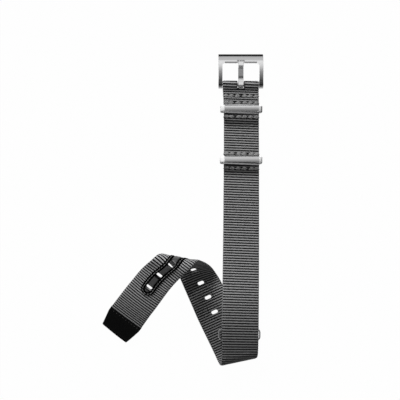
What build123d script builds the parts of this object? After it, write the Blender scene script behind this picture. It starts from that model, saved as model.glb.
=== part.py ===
from build123d import *
import math
import os

os.makedirs("parts", exist_ok=True)

# Webbing: one long strip, folded round the spring bar, and a short strip sewn beneath it
strap_width = 20.0
strap_thickness = 1.2
layer_gap = 0.05
bend_step_degrees = 9.0
bend_facet_sag = 0.02
strap_lean_degrees = 0.53
strap_side_offset = 0.2

# Spring bar that carries the buckle, lying across the strap's first fold
bar_radius = 0.9
bar_wall = 0.25
bar_mouth_radius = 0.5
bar_mouth_length = 0.5
bar_end_play = 0.2
bar_height = 2.3
fold_clearance = 0.12
plunger_clearance = 0.06
plunger_body_length = 3.0
plunger_tip_radius = 0.4
plunger_tip_reach = 1.0
socket_clearance = 0.05
socket_depth = 1.3
spring_wire_radius = 0.12
spring_turns = 11
spring_radius = 0.42
spring_seat_gap = 0.05

# Buckle frame: an arched band with a window, hung on the spring bar
frame_side_play = 0.5
frame_leg_width = 2.2
frame_reach = 17.4
frame_top_bar = 5.4
frame_thickness = 2.2
frame_arc_radius = 22.0
frame_drop = 0.45
frame_end_radius = 2.2
frame_blend_radius = 1.0
frame_window_radius = 1.4
frame_outer_chamfer = 0.55
frame_inner_bevel = 0.75
frame_edge_round = 0.25
window_bar_margin = 3.0
tip_rest_width = 4.4
tip_rest_length = 1.7
tip_rest_depth = 0.75

# Tongue of the buckle
tongue_width = 3.0
tongue_thickness = 1.1
tongue_bore_clearance = 0.05
tongue_curl_wall = 0.9
tongue_tip_height = 0.95
tongue_waist_height = 0.75
tongue_tip_gap = 0.12
tongue_edge_round = 0.25
tongue_slot_width = 3.7
tongue_slot_reach = 2.4

# Keepers: three like hoops of flat band
keeper_width = 23.6
keeper_height = 6.9
keeper_corner_radius = 2.3
keeper_band = 3.5
keeper_wall = 0.8
keeper_dome = 0.4
keeper_tilt_room_degrees = 7.0
keeper_side_play = 0.1
keeper_first_place = 14.2
keeper_second_place = 43.8
end_keeper_play = 0.1

# Places along the strap, measured from the spring bar
fold_run = 4.9
tail_end_place = 19.8
first_row_place = 6.5
second_row_place = 10.3
third_row_place = 18.3
fourth_row_place = 39.6
fifth_row_place = 48.0
bulge_run = 1.35
short_strap_start_place = 37.4
incline_start_place = 21.0
loop_start_place = 140.9
loop_lead_in = 3.0
incline_radius_first = 40.0
incline_radius_last = 60.0

# Big loop where the long strip turns under, and the leg that lies on the table
loop_height = 15.0
loop_ease_radius = 40.0
loop_ease_degrees = 13.2
loop_ease_run = 0.3
leg_angle_degrees = 25.0
leg_length = 45.0

# Arch where the strip turns back over itself, and the tip's leg
arch_ruling_degrees = 60.0
arch_foot_radius = 5.3
arch_foot_degrees = 68.5
arch_crown_radius = 4.2
arch_crown_degrees = 130.5
arch_shoulder_radius = 5.0
arch_shoulder_degrees = 22.5
landing_lead_in = 4.3
landing_ruling_degrees = 55.8
landing_radius = 60.0
landing_degrees = 22.6
arch_to_tip_length = 89.0

# Adjustment holes, the leather lining round them and the leather tip
hole_count = 9
hole_pitch = 9.13
hole_from_tip = 38.35
hole_width = 3.6
hole_length = 2.2
hole_corner_radius = 0.8
lining_width = 8.2
lining_thickness = 0.8
lining_rim_width = 1.1
lining_rim_thickness = 0.55
lining_margin = 5.3
leather_gap = 0.03
tip_length = 11.0
tip_straight_length = 2.6
tip_end_width = 17.0
tip_leather = 0.7
tip_corner_radius = 0.6
tip_side_wall = 1.2
tip_end_wall = 1.6

# Short strip's eye, which holds the end keeper
eye_height = 6.5
eye_place = 137.8
eye_closing_run = 5.0
eye_tail_length = 9.0
short_strap_bend_radius = 30.0
short_strap_bend_place = 50.5

# Thread
row_stitch_count = 5
row_stitch_length = 3.0
row_stitch_width = 1.3
row_stitch_height = 0.35
row_stitch_slant_degrees = 12.0
seam_stitch_length = 1.5
seam_stitch_width = 0.35
seam_stitch_height = 0.16
seam_stitch_pitch = 2.4
seam_edge_margin = 0.65
seam_lift = 0.1
seam_gap = 0.05
thread_gap = 0.01

# A named overrun for every cut
overrun = 2.0

fold_radius = bar_radius + fold_clearance + strap_thickness / 2
half_strap = strap_width / 2
keeper_room = (
    keeper_band / 2 * math.sin(math.radians(keeper_tilt_room_degrees)) + keeper_wall / 2 + layer_gap
)
keeper_rise = keeper_room - layer_gap / 2
row_height = keeper_room + strap_thickness
layer_offset = (layer_gap + strap_thickness) / 2
main_level = row_height + layer_offset
tail_level = row_height - layer_offset
leg_level = strap_thickness / 2 + lining_thickness + leather_gap
frame_inner_width = strap_width + 2 * frame_side_play
frame_outer_width = frame_inner_width + 2 * frame_leg_width
stitch_row_places = [
    first_row_place,
    second_row_place,
    third_row_place,
    fourth_row_place,
    fifth_row_place,
]


class Trail:
    """Middle line of a strip of webbing, as straight runs and bends about slanting lines."""

    def __init__(self, place, heading, inner):
        self.state = (Vector(*place), Vector(*heading), Vector(*inner))
        self.steps = []
        self.length = 0.0

    def add(self, step, step_length):
        self.steps.append((self.length, step_length, step, self.state))
        self.length += step_length
        self.state = moved(self.state, step, 1.0)

    def straight(self, run):
        if run > 0:
            self.add(("straight", run), run)

    def bend(self, radius, degrees, ruling=90.0):
        """Turns towards the inner side by degrees, about a line at the ruling angle to the heading."""
        if degrees == 0:
            return
        arc = radius * math.radians(abs(degrees))
        self.add(("bend", radius, degrees, ruling), arc / math.sin(math.radians(ruling)))

    def shift(self, run, rise):
        """Two like bends that move the strip by rise towards its inner side over a run."""
        radius = (run**2 + rise**2) / (4 * abs(rise))
        degrees = math.degrees(2 * math.atan2(rise, run))
        self.bend(radius, degrees)
        self.bend(radius, -degrees)

    def at(self, distance):
        """Place, heading and inner side at a distance along the strip."""
        for start, length, step, state in self.steps:
            if distance <= start + length:
                return moved(state, step, (distance - start) / length)
        return self.state

    def copy(self):
        twin = Trail(*self.state)
        twin.steps = list(self.steps)
        twin.length = self.length
        return twin

    def plane(self, distance, across=0.0):
        """X across the strip, Y along it and Z towards its inner side, at a place beside its middle."""
        start, place, heading, inner = 0.0, *self.steps[0][3]
        for first, length, step, state in self.steps:
            if step[0] == "straight":
                continue
            lead = across / math.tan(math.radians(step[3]))
            if distance + lead < first:
                break
            if distance + lead <= first + length:
                place, heading, inner = moved(state, step, (distance + lead - first) / length)
                start = distance + lead
                break
            start = first + length
            place, heading, inner = moved(state, step, 1.0)
        aside = heading.cross(inner)
        place = place + heading * (distance - start) + aside * across
        return Plane(origin=place, x_dir=aside, z_dir=inner)

    def rulings(self, start, end):
        """Distances and ruling angles where the strip's sections stand."""
        marks = [(start, 90.0)]
        for first, length, step, _ in self.steps:
            if step[0] == "straight" or first + length <= start or first >= end:
                continue
            facet = 2 * math.degrees(math.acos(1 - bend_facet_sag / step[1]))
            count = math.ceil(abs(step[2]) / min(facet, bend_step_degrees))
            for index in range(count + 1):
                mark = (first + length * index / count, step[3])
                if start < mark[0] < end and mark != marks[-1]:
                    marks.append(mark)
        return marks

    def section(self, distance, ruling, width, low, high):
        """Slice of the strip between two heights over its middle line."""
        _, heading, inner = self.at(distance)
        place = self.at(distance)[0]
        side = inner.cross(heading)
        angle = math.radians(ruling)
        along = heading * math.cos(angle) + side * math.sin(angle)
        half = width / 2 / math.sin(angle)
        corners = [
            place - along * half + inner * low,
            place + along * half + inner * low,
            place + along * half + inner * high,
            place - along * half + inner * high,
        ]
        return Face(Wire.make_polygon(corners))

    def strip(self, start, end, width, low, high, square_end=True):
        """Solid of the strip from one distance to another."""
        marks = self.rulings(start, end)
        marks.append((end, 90.0 if square_end else marks[-1][1]))
        sections = [self.section(*mark, width, low, high) for mark in marks]
        return Solid.make_loft([face.outer_wire() for face in sections], ruled=True)


def moved(state, step, share):
    """Where a straight run or a bend leads to after a share of its length."""
    place, heading, inner = state
    if step[0] == "straight":
        return place + heading * (step[1] * share), heading, inner
    _, radius, degrees, ruling = step
    angle = math.radians(ruling)
    side = inner.cross(heading)
    along = heading * math.cos(angle) + side * math.sin(angle)
    ahead = heading * math.sin(angle) - side * math.cos(angle)
    turn = math.radians(degrees) * share
    signed_radius = math.copysign(radius, degrees)
    place = (
        place
        + along * (radius * abs(turn) / math.tan(angle))
        + ahead * (signed_radius * math.sin(turn))
        + inner * (signed_radius * (1 - math.cos(turn)))
    )
    turned = ahead * math.cos(turn) + inner * math.sin(turn)
    inner = inner * math.cos(turn) - ahead * math.sin(turn)
    return place, along * math.cos(angle) + turned * math.sin(angle), inner


def incline():
    """Slope and straight length of the run that climbs from the sewn end to the big loop."""
    run = loop_start_place - loop_lead_in - incline_start_place
    rise = loop_height - main_level
    radii = incline_radius_first + incline_radius_last
    straight = math.sqrt(run**2 + rise**2 - 2 * radii * rise)
    return math.degrees(2 * math.atan2(rise, run + straight)), straight


def keeper_bulge(trail, side):
    """Detour of a layer round a keeper's sewn-in bar, out to one side of its line."""
    trail.shift(bulge_run, side * keeper_rise)
    trail.straight(keeper_band + 2 * keeper_side_play)
    trail.shift(bulge_run, -side * keeper_rise)


def main_trail():
    """Long strip from its sewn tail round the bar, through the loop and the arch to its tip."""
    bulge_length = keeper_band + 2 * keeper_side_play + 2 * bulge_run
    first_bulge_end = keeper_first_place + bulge_length / 2
    first_bulge_start = keeper_first_place - bulge_length / 2
    slope, climb = incline()
    trail = Trail((0, -tail_end_place, tail_level), (0, 1, 0), (0, 0, 1))
    trail.straight(tail_end_place - first_bulge_end)
    keeper_bulge(trail, -1)
    trail.straight(first_bulge_start - fold_run)
    trail.shift(fold_run, bar_height - fold_radius - tail_level)
    fold_start = trail.length
    trail.bend(fold_radius, 180)
    trail.shift(fold_run, bar_height + fold_radius - main_level)
    trail.straight(first_bulge_start - fold_run)
    keeper_bulge(trail, -1)
    trail.straight(incline_start_place - first_bulge_end)
    trail.bend(incline_radius_first, -slope)
    climb_start = trail.length
    climbed = incline_start_place + incline_radius_first * math.sin(math.radians(slope))
    before_keeper = (keeper_second_place - climbed) / math.cos(math.radians(slope))
    trail.straight(before_keeper - bulge_length / 2)
    keeper_bulge(trail, -1)
    trail.straight(climb - before_keeper - bulge_length / 2)
    trail.bend(incline_radius_last, slope)
    trail.straight(loop_lead_in)
    loop_ruling = 90 - leg_angle_degrees / 2
    turn = math.radians(loop_ease_degrees)
    ease_drop = loop_ease_radius * (1 - math.cos(turn)) + loop_ease_run * math.sin(turn)
    loop_radius = (loop_height - leg_level - ease_drop) / (1 + math.cos(turn))
    trail.bend(loop_ease_radius, loop_ease_degrees, loop_ruling)
    trail.straight(loop_ease_run / math.sin(math.radians(loop_ruling)))
    trail.bend(loop_radius, 180 - loop_ease_degrees, loop_ruling)
    trail.straight(leg_length)
    arch(trail)
    return trail, fold_start, climb_start, climbed


def arch(trail):
    """Arch over the leg, as high as lets the tip's lower corner come down to the table."""
    trial = trail.copy()
    rising = arch_bends(trial, 0.0)
    place, heading, inner = trial.state
    side = inner.cross(heading)
    cap_height = strap_thickness / 2 + leather_gap + tip_leather
    lowest = place.Z - abs(side.Z) * tip_end_width / 2 - abs(inner.Z) * cap_height
    # A longer upright run lifts the tip by the run, and takes as much off the run that falls to it
    arch_bends(trail, -lowest / (rising.Z - heading.Z))


def arch_bends(trail, upright):
    """Adds the arch with an upright run of a given length, and gives the way that run points."""
    end = trail.length + arch_to_tip_length
    trail.bend(arch_foot_radius, arch_foot_degrees, arch_ruling_degrees)
    trail.straight(upright)
    rising = trail.state[1]
    trail.bend(arch_crown_radius, arch_crown_degrees, arch_ruling_degrees)
    trail.bend(arch_shoulder_radius, arch_shoulder_degrees, arch_ruling_degrees)
    trail.straight(landing_lead_in)
    trail.bend(landing_radius, -landing_degrees, landing_ruling_degrees)
    trail.straight(end - trail.length)
    return rising


def short_trail(main, climb_start, climbed):
    """Short strip from its sewn start, under the long one, to the eye of the end keeper."""
    slope = incline()[0]
    tilt = math.cos(math.radians(slope))
    start = climb_start + (short_strap_start_place - climbed) / tilt
    place, heading, inner = main.at(start)
    bulge_length = keeper_band + 2 * keeper_side_play + 2 * bulge_run
    before = (keeper_second_place - short_strap_start_place) / tilt - bulge_length / 2
    after = (short_strap_bend_place - keeper_second_place) / tilt - bulge_length / 2
    trail = Trail(place + inner * (2 * layer_offset), heading, inner)
    trail.straight(before)
    keeper_bulge(trail, 1)
    trail.straight(after)
    eye_radius = math.hypot(keeper_band / 2, keeper_wall / 2) + end_keeper_play + strap_thickness / 2
    place, heading, inner = trail.state
    fall = trail.state[0].Z - (eye_height + layer_offset)
    reach = eye_place - eye_closing_run - abs(place.Y)
    turn = slope + math.degrees(math.atan2(fall, reach))
    trail.bend(short_strap_bend_radius, turn)
    trail.straight(math.hypot(fall, reach) - short_strap_bend_radius * math.radians(turn))
    trail.shift(eye_closing_run, layer_offset - eye_radius)
    eye_start = trail.length
    trail.bend(eye_radius, 180)
    trail.shift(eye_closing_run, eye_radius - layer_offset)
    trail.straight(eye_tail_length)
    return trail, eye_start, eye_radius


def lean(shape):
    """Turns what lies along the strap's run to its small lean, and moves it aside in the buckle."""
    return shape.rotate(Axis.Z, -strap_lean_degrees).translate((strap_side_offset, 0, 0))


def hole_distances(trail):
    return [trail.length - hole_from_tip - hole_pitch * index for index in range(hole_count)]


def make_main_strap(trail, fold_start):
    end = trail.length - tip_end_wall
    half = strap_thickness / 2
    strap = trail.strip(0, end, strap_width, -half, half)
    hole = RectangleRounded(hole_width, hole_length, hole_corner_radius)
    for distance in hole_distances(trail):
        strap -= extrude(trail.plane(distance) * hole, strap_thickness + lining_thickness, both=True)
    slot_height = 2 * (bar_height + fold_radius)
    slot_length = tongue_slot_reach + fold_radius + strap_thickness
    slot = Box(tongue_slot_width, slot_length, slot_height)
    strap -= slot.translate((0, slot_length / 2 - tongue_slot_reach, bar_height))
    strap -= tip_sides(trail)
    return strap


def tip_outline(inset):
    """Outline of the tip in its own plane, drawn in by an inset, from its mouth to its end."""
    start = -tip_length
    side = half_strap - inset
    end = tip_end_width / 2 - inset
    straight = start + tip_straight_length
    points = [(-side, start), (side, start), (side, straight), (end, -inset), (-end, -inset), (-side, straight)]
    return make_face(Polyline(*points, close=True))


def tip_sides(trail):
    """What is cut from the webbing's end, so that it fits in the leather tip."""
    plane = trail.plane(trail.length)
    block = Rectangle(strap_width + overrun, tip_length + overrun)
    outside = block.translate((0, (overrun - tip_length) / 2)) - tip_outline(tip_side_wall)
    return extrude(plane * outside, strap_thickness, both=True)


def make_tip(trail):
    plane = trail.plane(trail.length)
    height = strap_thickness / 2 + leather_gap + tip_leather
    cap = extrude(plane * tip_outline(0), height, both=True)
    end_corners = sorted(cap.edges(), key=lambda edge: -plane.to_local_coords(edge.center()).Y)
    corners = [edge for edge in end_corners if abs(edge.length - 2 * height) < leather_gap][:2]
    cap = fillet(corners, tip_corner_radius)
    pocket = tip_outline(tip_side_wall - leather_gap)
    mouth = Rectangle(strap_width + overrun, overrun).translate((0, -tip_length - overrun / 2))
    pocket_height = strap_thickness / 2 + leather_gap
    cap -= extrude(plane * pocket, pocket_height, both=True)
    return cap - extrude(plane * mouth, pocket_height, both=True)


def end_trim(trail, centre, direction, width):
    """What lies outside a half-round end of a strip of leather, beyond the middle of its circle."""
    size = 2 * lining_width
    beyond = Rectangle(size, size).translate((0, direction * size / 2))
    return extrude(trail.plane(centre) * (beyond - Circle(width / 2)), lining_thickness * 4, both=True)


def lining_ends(trail):
    distances = hole_distances(trail)
    return distances[-1] - lining_margin, distances[0] + lining_margin


def make_lining(trail):
    """Leather strip with a thin stitched rim and a thicker panel between its stitches."""
    start, end = lining_ends(trail)
    top = -strap_thickness / 2 - leather_gap
    lining = leather_strip(trail, start, end, lining_width, top - lining_rim_thickness, top)
    inset = lining_rim_width
    width = lining_width - 2 * inset
    lining += leather_strip(trail, start + inset, end - inset, width, top - lining_thickness, top)
    hole = RectangleRounded(hole_width, hole_length, hole_corner_radius)
    for distance in hole_distances(trail):
        lining -= extrude(trail.plane(distance) * hole, strap_thickness + lining_thickness, both=True)
    return lining


def leather_strip(trail, start, end, width, low, high):
    strip = trail.strip(start, end + width, width, low, high, square_end=False)
    strip -= end_trim(trail, start + width / 2, -1, width)
    return strip - end_trim(trail, end - width / 2, 1, width)


def make_short_strap(trail):
    half = strap_thickness / 2
    return trail.strip(0, trail.length, strap_width, -half, half)


def keeper_hoop():
    """Hoop with its sewn-in bar's middle at the origin and its domed bar above."""
    middle = (keeper_height - keeper_wall) / 2
    outline = RectangleRounded(keeper_width, keeper_height, keeper_corner_radius)
    hole = RectangleRounded(
        keeper_width - 2 * keeper_wall, keeper_height - 2 * keeper_wall, keeper_corner_radius - keeper_wall
    )
    hoop = extrude(Plane.XZ * (outline - hole), keeper_band / 2, both=True)
    rims = [
        edge
        for edge in hoop.edges()
        if abs(abs(edge.center().Y) - keeper_band / 2) < layer_gap and on_outside(edge)
    ]
    return fillet(rims, keeper_dome).translate((0, 0, middle))


def on_outside(edge):
    """True for an edge of the hoop's outer rim, by its distance from the inner outline."""
    centre = edge.center()
    half_width = keeper_width / 2 - keeper_wall / 2
    half_height = keeper_height / 2 - keeper_wall / 2
    return abs(centre.X) > half_width or abs(centre.Z) > half_height or is_outer_corner(edge)


def is_outer_corner(edge):
    return edge.geom_type == GeomType.CIRCLE and abs(edge.radius - keeper_corner_radius) < layer_gap


def make_end_keeper(plane):
    """End keeper lies flat: its bar in the eye and its hoop reaching past the short strip."""
    return plane * keeper_hoop().rotate(Axis.X, 90)


def frame_centre():
    """Centre of the frame's arc, in the plane across the bar, with the bar's axis at the origin."""
    reach = frame_reach - frame_thickness / 2
    chord = math.hypot(reach, frame_drop)
    height = math.sqrt(frame_arc_radius**2 - (chord / 2) ** 2)
    angle = math.atan2(-frame_drop, reach)
    middle = Vector(reach / 2, -frame_drop / 2, 0)
    return middle + Vector(math.sin(angle), -math.cos(angle), 0) * height


def arc_height(y, offset):
    """Height over the bar's axis of a line at an offset from the frame's middle arc."""
    centre = frame_centre()
    return centre.Y + math.sqrt((frame_arc_radius + offset) ** 2 - (y - centre.X) ** 2)


def side_plane():
    """Plane across the bar: its X points from the bar to the frame's top bar, its Y up."""
    return Plane(origin=(0, 0, 0), x_dir=(0, 1, 0), z_dir=(1, 0, 0))


def make_frame():
    centre = frame_centre()
    half = frame_thickness / 2
    ring = Circle(frame_arc_radius + half) - Circle(frame_arc_radius - half)
    slab = Rectangle(frame_reach, frame_arc_radius).translate((frame_reach / 2, 0))
    side = (ring.translate(centre) & slab) + Circle(frame_end_radius)
    side = fillet([point for point in side.vertices() if point.X < frame_reach / 2], frame_blend_radius)
    side = chamfer(max(far_points(side), key=lambda point: point.Y), frame_outer_chamfer)
    side = fillet(min(far_points(side), key=lambda point: point.Y), frame_edge_round)
    body = extrude(side_plane() * side, frame_outer_width / 2, both=True)
    outer_faces = body.faces().group_by(Axis.X)
    rims = [edge for group in (outer_faces[0], outer_faces[-1]) for face in group for edge in face.edges()]
    body = fillet(rims, frame_edge_round)
    window_length = frame_reach - frame_top_bar + window_bar_margin
    window = extrude(Rectangle(frame_inner_width, window_length), frame_arc_radius, both=True)
    corners = window.edges().filter_by(Axis.Z).group_by(Axis.Y)[-1]
    window = fillet(corners, frame_window_radius)
    body -= window.translate((0, window_length / 2 - window_bar_margin, 0))
    body -= inner_bevel()
    body -= tip_rest()
    for sign in (-1, 1):
        socket = Cylinder(plunger_tip_radius + socket_clearance, socket_depth, rotation=(0, 90, 0))
        body -= socket.translate((sign * (frame_inner_width + socket_depth) / 2, 0, 0))
    return body


def far_points(side):
    """Corners of the frame's side view at its top bar's outer end."""
    return [point for point in side.vertices() if point.X > frame_reach - frame_thickness / 2]


def inner_bevel():
    """Wedge cut along the top bar's lower edge, over the window."""
    edge = frame_reach - frame_top_bar
    top = arc_height(edge, frame_thickness / 2)
    bevel = frame_inner_bevel
    wedge = Polyline(
        (edge, top - bevel), (edge, top + overrun), (edge + 2 * bevel + overrun, top + overrun), close=True
    )
    return extrude(side_plane() * make_face(wedge), frame_inner_width / 2 - frame_window_radius, both=True)


def tip_rest():
    """Notch in the top bar's lower edge that the tongue's tip lies in."""
    edge = frame_reach - frame_top_bar
    floor = tip_rest_level()
    notch = Box(tip_rest_width, tip_rest_length + overrun, overrun)
    return notch.translate((0, edge + (tip_rest_length - overrun) / 2, floor + overrun / 2))


def tip_rest_level():
    return arc_height(frame_reach - frame_top_bar, frame_thickness / 2) - tip_rest_depth


def make_tongue():
    """Curl round the bar, a low waist and a tip that lies in the frame's notch."""
    bore = bar_radius + tongue_bore_clearance
    outer = bore + tongue_curl_wall
    tip_end = frame_reach - frame_top_bar + tip_rest_length - tongue_tip_gap
    tip_low = tip_rest_level() + tongue_tip_gap
    tip_high = tip_low + tongue_tip_height
    waist = outer - tongue_waist_height
    curl_end = outer * 1.35
    waist_start = curl_end + (tip_end - curl_end) * 0.16
    waist_end = curl_end + (tip_end - curl_end) * 0.56
    rise_end = curl_end + (tip_end - curl_end) * 0.74
    top = Spline((0, outer), (curl_end, outer * 0.86), tangents=[(1, 0), (1, -0.45)])
    middle = Spline(top @ 1, (waist_start, waist), tangents=[top % 1, (1, 0)])
    flat = Line(middle @ 1, (waist_end, waist))
    rise = Spline(flat @ 1, (rise_end, tip_high), tangents=[(1, 0), (1, 0)])
    tip = Spline(rise @ 1, (tip_end, tip_low), tangents=[(1, 0), (0.15, -1)])
    under_tip = Line(tip @ 1, (rise_end, tip_low))
    under_rise = Spline(
        under_tip @ 1, (waist_end, waist - tongue_thickness), tangents=[(-1, 0), (-1, 0)]
    )
    under_flat = Line(under_rise @ 1, (waist_start, waist - tongue_thickness))
    under = Line(under_flat @ 1, (0, -outer * 0.2))
    close = Line(under @ 1, (0, outer))
    outline = make_face([top, middle, flat, rise, tip, under_tip, under_rise, under_flat, under, close])
    shape = outline + Circle(outer) - Circle(bore)
    tongue = extrude(side_plane() * shape, tongue_width / 2, both=True)
    sides = [
        edge
        for edge in tongue.edges()
        if abs(abs(edge.center().X) - tongue_width / 2) < layer_gap and edge.center().Z > waist / 2
    ]
    return fillet(sides, tongue_edge_round)


def bar_length():
    return frame_inner_width - 2 * bar_end_play


def make_bar_tube():
    """Tube of the spring bar, drawn in at both mouths to hold its plungers."""
    length = bar_length()
    tube = Cylinder(bar_radius, length, rotation=(0, 90, 0))
    tube -= Cylinder(bar_radius - bar_wall, length - 2 * bar_mouth_length, rotation=(0, 90, 0))
    return tube - Cylinder(bar_mouth_radius, length, rotation=(0, 90, 0))


def make_plunger(sign):
    """Plunger: a body inside the tube and a thin tip that reaches into the frame's leg."""
    body_end = bar_length() / 2 - bar_mouth_length - thread_gap
    radius = bar_radius - bar_wall - plunger_clearance
    tip_end = frame_inner_width / 2 + plunger_tip_reach
    body = Cylinder(radius, plunger_body_length, rotation=(0, 90, 0))
    body = body.translate((sign * (body_end - plunger_body_length / 2), 0, 0))
    tip_length_total = tip_end - body_end + plunger_clearance
    tip = Cylinder(plunger_tip_radius, tip_length_total, rotation=(0, 90, 0))
    return body + tip.translate((sign * (tip_end - tip_length_total / 2), 0, 0))


def make_spring():
    """Coil spring between the plungers."""
    reach = bar_length() / 2 - bar_mouth_length - plunger_body_length - spring_seat_gap
    height = 2 * (reach - spring_wire_radius - thread_gap)
    coil = Helix(height / spring_turns, height, spring_radius)
    start = Plane(origin=coil @ 0, z_dir=coil % 0)
    wire = sweep(start * Circle(spring_wire_radius), path=coil)
    return wire.translate((0, 0, -height / 2)).rotate(Axis.Y, 90)


def stitch(length, width, height):
    """One stitch lying on a surface at height zero."""
    return extrude(SlotOverall(length, width), height)


def row_on(plane, outward):
    """Row of slanting stitches across the strap, on one face of it."""
    pitch = strap_width / (row_stitch_count + layer_gap)
    for index in range(row_stitch_count):
        bar = stitch(row_stitch_length, row_stitch_width, row_stitch_height)
        bar = bar.rotate(Axis.Z, row_stitch_slant_degrees)
        across = (index - (row_stitch_count - 1) / 2) * pitch
        lift = strap_thickness / 2 + thread_gap
        if outward < 0:
            bar = bar.rotate(Axis.X, 180)
        yield plane * bar.translate((across, 0, outward * lift))


def make_row(main, main_distance, other, other_distance, other_side):
    """Stitch row through two layers: its floats on the long strip and under the other layer."""
    stitches = list(row_on(main.plane(main_distance), -1))
    stitches += list(row_on(other.plane(other_distance), other_side))
    return Compound(stitches)


def lining_seam_places(trail):
    """Distance, place across and turn of each stitch round the lining's rim."""
    start, end = lining_ends(trail)
    reach = (lining_width - lining_rim_width) / 2
    first, last = start + lining_width / 2, end - lining_width / 2
    count = round((last - first) / seam_stitch_pitch)
    for side in (-1, 1):
        for index in range(count):
            yield first + (last - first) * (index + 1 / 2) / count, side * reach, 0.0
    turns = round(math.pi * reach / seam_stitch_pitch)
    for centre, way in ((first, -1), (last, 1)):
        for index in range(turns):
            angle = math.pi * (index + 1 / 2) / turns
            across = reach * math.cos(angle)
            yield centre + way * reach * math.sin(angle), across, way * math.degrees(angle)


def make_lining_seam(trail):
    """Stitches round the lining, on its rim and on the webbing's other face."""
    outer = -strap_thickness / 2 - leather_gap - lining_rim_thickness - seam_gap
    inner = strap_thickness / 2 + seam_lift
    stitches = []
    for distance, across, turn in lining_seam_places(trail):
        bar = stitch(seam_stitch_length, seam_stitch_width, seam_stitch_height)
        bar = bar.rotate(Axis.Z, 90 + turn)
        plane = trail.plane(distance, across)
        stitches.append(plane * bar.translate((0, 0, inner)))
        stitches.append(plane * bar.translate((0, 0, outer - seam_stitch_height)))
    return stitches


def make_tip_seam(trail):
    """Stitches round the tip's border, on both of its faces."""
    plane = trail.plane(trail.length)
    face = strap_thickness / 2 + leather_gap + tip_leather + thread_gap
    count = int(strap_width // seam_stitch_pitch) - 1
    stitches = []
    for side in (-1, 1):
        for index in range(count):
            bar = stitch(seam_stitch_length, seam_stitch_width, seam_stitch_height)
            if side < 0:
                bar = bar.rotate(Axis.X, 180)
            across = (index - (count - 1) / 2) * seam_stitch_pitch
            place = (across, seam_edge_margin * 2 - tip_length, side * face)
            stitches.append(plane * bar.translate(place))
    return stitches


def main_distance(place, fold_start, climb_start, climbed):
    """Distance along the long strip of a place on its upper layer."""
    slope = math.radians(incline()[0])
    if place > climbed:
        return climb_start + detour(place) + (place - climbed) / math.cos(slope)
    return climb_start - (incline_arc_length(slope) + incline_start_place - place) + flat_detour(place)


def incline_arc_length(slope):
    return incline_radius_first * slope


def bulge_surplus():
    """How much longer a keeper's bulge is along the strip than over its run."""
    radius = (bulge_run**2 + keeper_rise**2) / (4 * keeper_rise)
    arc = 2 * radius * 2 * math.atan2(keeper_rise, bulge_run)
    return 2 * (arc - bulge_run)


def detour(place):
    return bulge_surplus() if place > keeper_second_place else 0


def flat_detour(place):
    return -bulge_surplus() if place < keeper_first_place else 0


def tail_distance(place):
    """Distance along the tail of a place measured from the bar."""
    return tail_end_place - place + (bulge_surplus() if place < keeper_first_place else 0)


def short_distance(place):
    tilt = math.cos(math.radians(incline()[0]))
    surplus = bulge_surplus() if place > keeper_second_place else 0
    return (place - short_strap_start_place) / tilt + surplus


def build():
    main, fold_start, climb_start, climbed = main_trail()
    short, eye_start, eye_radius = short_trail(main, climb_start, climbed)
    nodes = {}
    nodes["main_strap"] = make_main_strap(main, fold_start)
    nodes["short_strap"] = make_short_strap(short)
    nodes["hole_lining"] = make_lining(main)
    nodes["tip_cap"] = make_tip(main)
    nodes["lining_stitching"] = Compound(make_lining_seam(main))
    nodes["tip_stitching"] = Compound(make_tip_seam(main))
    for index, place in enumerate(stitch_row_places):
        above = main_distance(place, fold_start, climb_start, climbed)
        if place < tail_end_place:
            row = make_row(main, above, main, tail_distance(place), -1)
        else:
            row = make_row(main, above, short, short_distance(place), 1)
        nodes[f"stitch_row_{index + 1}"] = row
    eye_middle = short.at(eye_start)[0] + short.at(eye_start)[2] * eye_radius
    eye_row = short.length - eye_tail_length / 2
    eye_above = eye_start - (short.length - eye_row - eye_tail_length)
    nodes["end_stitching"] = Compound(list(row_on(short.plane(eye_row), -1)))
    keeper_bar = {}
    first = main.at(main_distance(keeper_first_place, fold_start, climb_start, climbed))
    second = main.at(main_distance(keeper_second_place, fold_start, climb_start, climbed))
    for name, state in (("keeper_first", first), ("keeper_second", second)):
        place, heading, inner = state
        middle = place + inner * (strap_thickness / 2 + keeper_room)
        plane = Plane(origin=middle, x_dir=(1, 0, 0), z_dir=inner * -1)
        nodes[name] = plane * keeper_hoop()
        keeper_bar[name] = middle
    nodes["keeper_end"] = make_end_keeper(Plane(origin=eye_middle))
    keeper_bar["keeper_end"] = eye_middle
    nodes = {name: lean(shape) for name, shape in nodes.items()}
    hardware = {
        "buckle_frame": make_frame(),
        "buckle_tongue": make_tongue(),
        "spring_bar_tube": make_bar_tube(),
        "spring_bar_plunger_left": make_plunger(-1),
        "spring_bar_plunger_right": make_plunger(1),
        "spring_bar_spring": make_spring(),
    }
    for name, shape in hardware.items():
        nodes[name] = shape.translate((0, 0, bar_height))
    return nodes, keeper_bar, main


def place_on_table(nodes):
    """Puts the middle of the whole object's footprint at the origin."""
    box = Compound([shape for shape in nodes.values()]).bounding_box()
    shift = Vector(-(box.min.X + box.max.X) / 2, -(box.min.Y + box.max.Y) / 2, -box.min.Z)
    return {name: shape.translate(shift) for name, shape in nodes.items()}, shift


def say(name, point):
    print(name, [round(value, 4) for value in (point.X, point.Y, point.Z)])


def leaned(point):
    """Where a point of the straight strap lies once the strap has its lean."""
    return point.rotate(Axis.Z, -strap_lean_degrees) + Vector(strap_side_offset, 0, 0)


raw_nodes, keeper_bars, long_strip = build()
placed, offset = place_on_table(raw_nodes)
for node, shape in placed.items():
    export_step(shape, f"parts/{node}.step")

say("shift", offset)
say("bar axis", Vector(0, 0, bar_height) + offset)
for node, point in keeper_bars.items():
    say(node, leaned(point) + offset)
for number, distance in enumerate(hole_distances(long_strip)):
    say(f"hole {number}", leaned(long_strip.at(distance)[0]) + offset)
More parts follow.
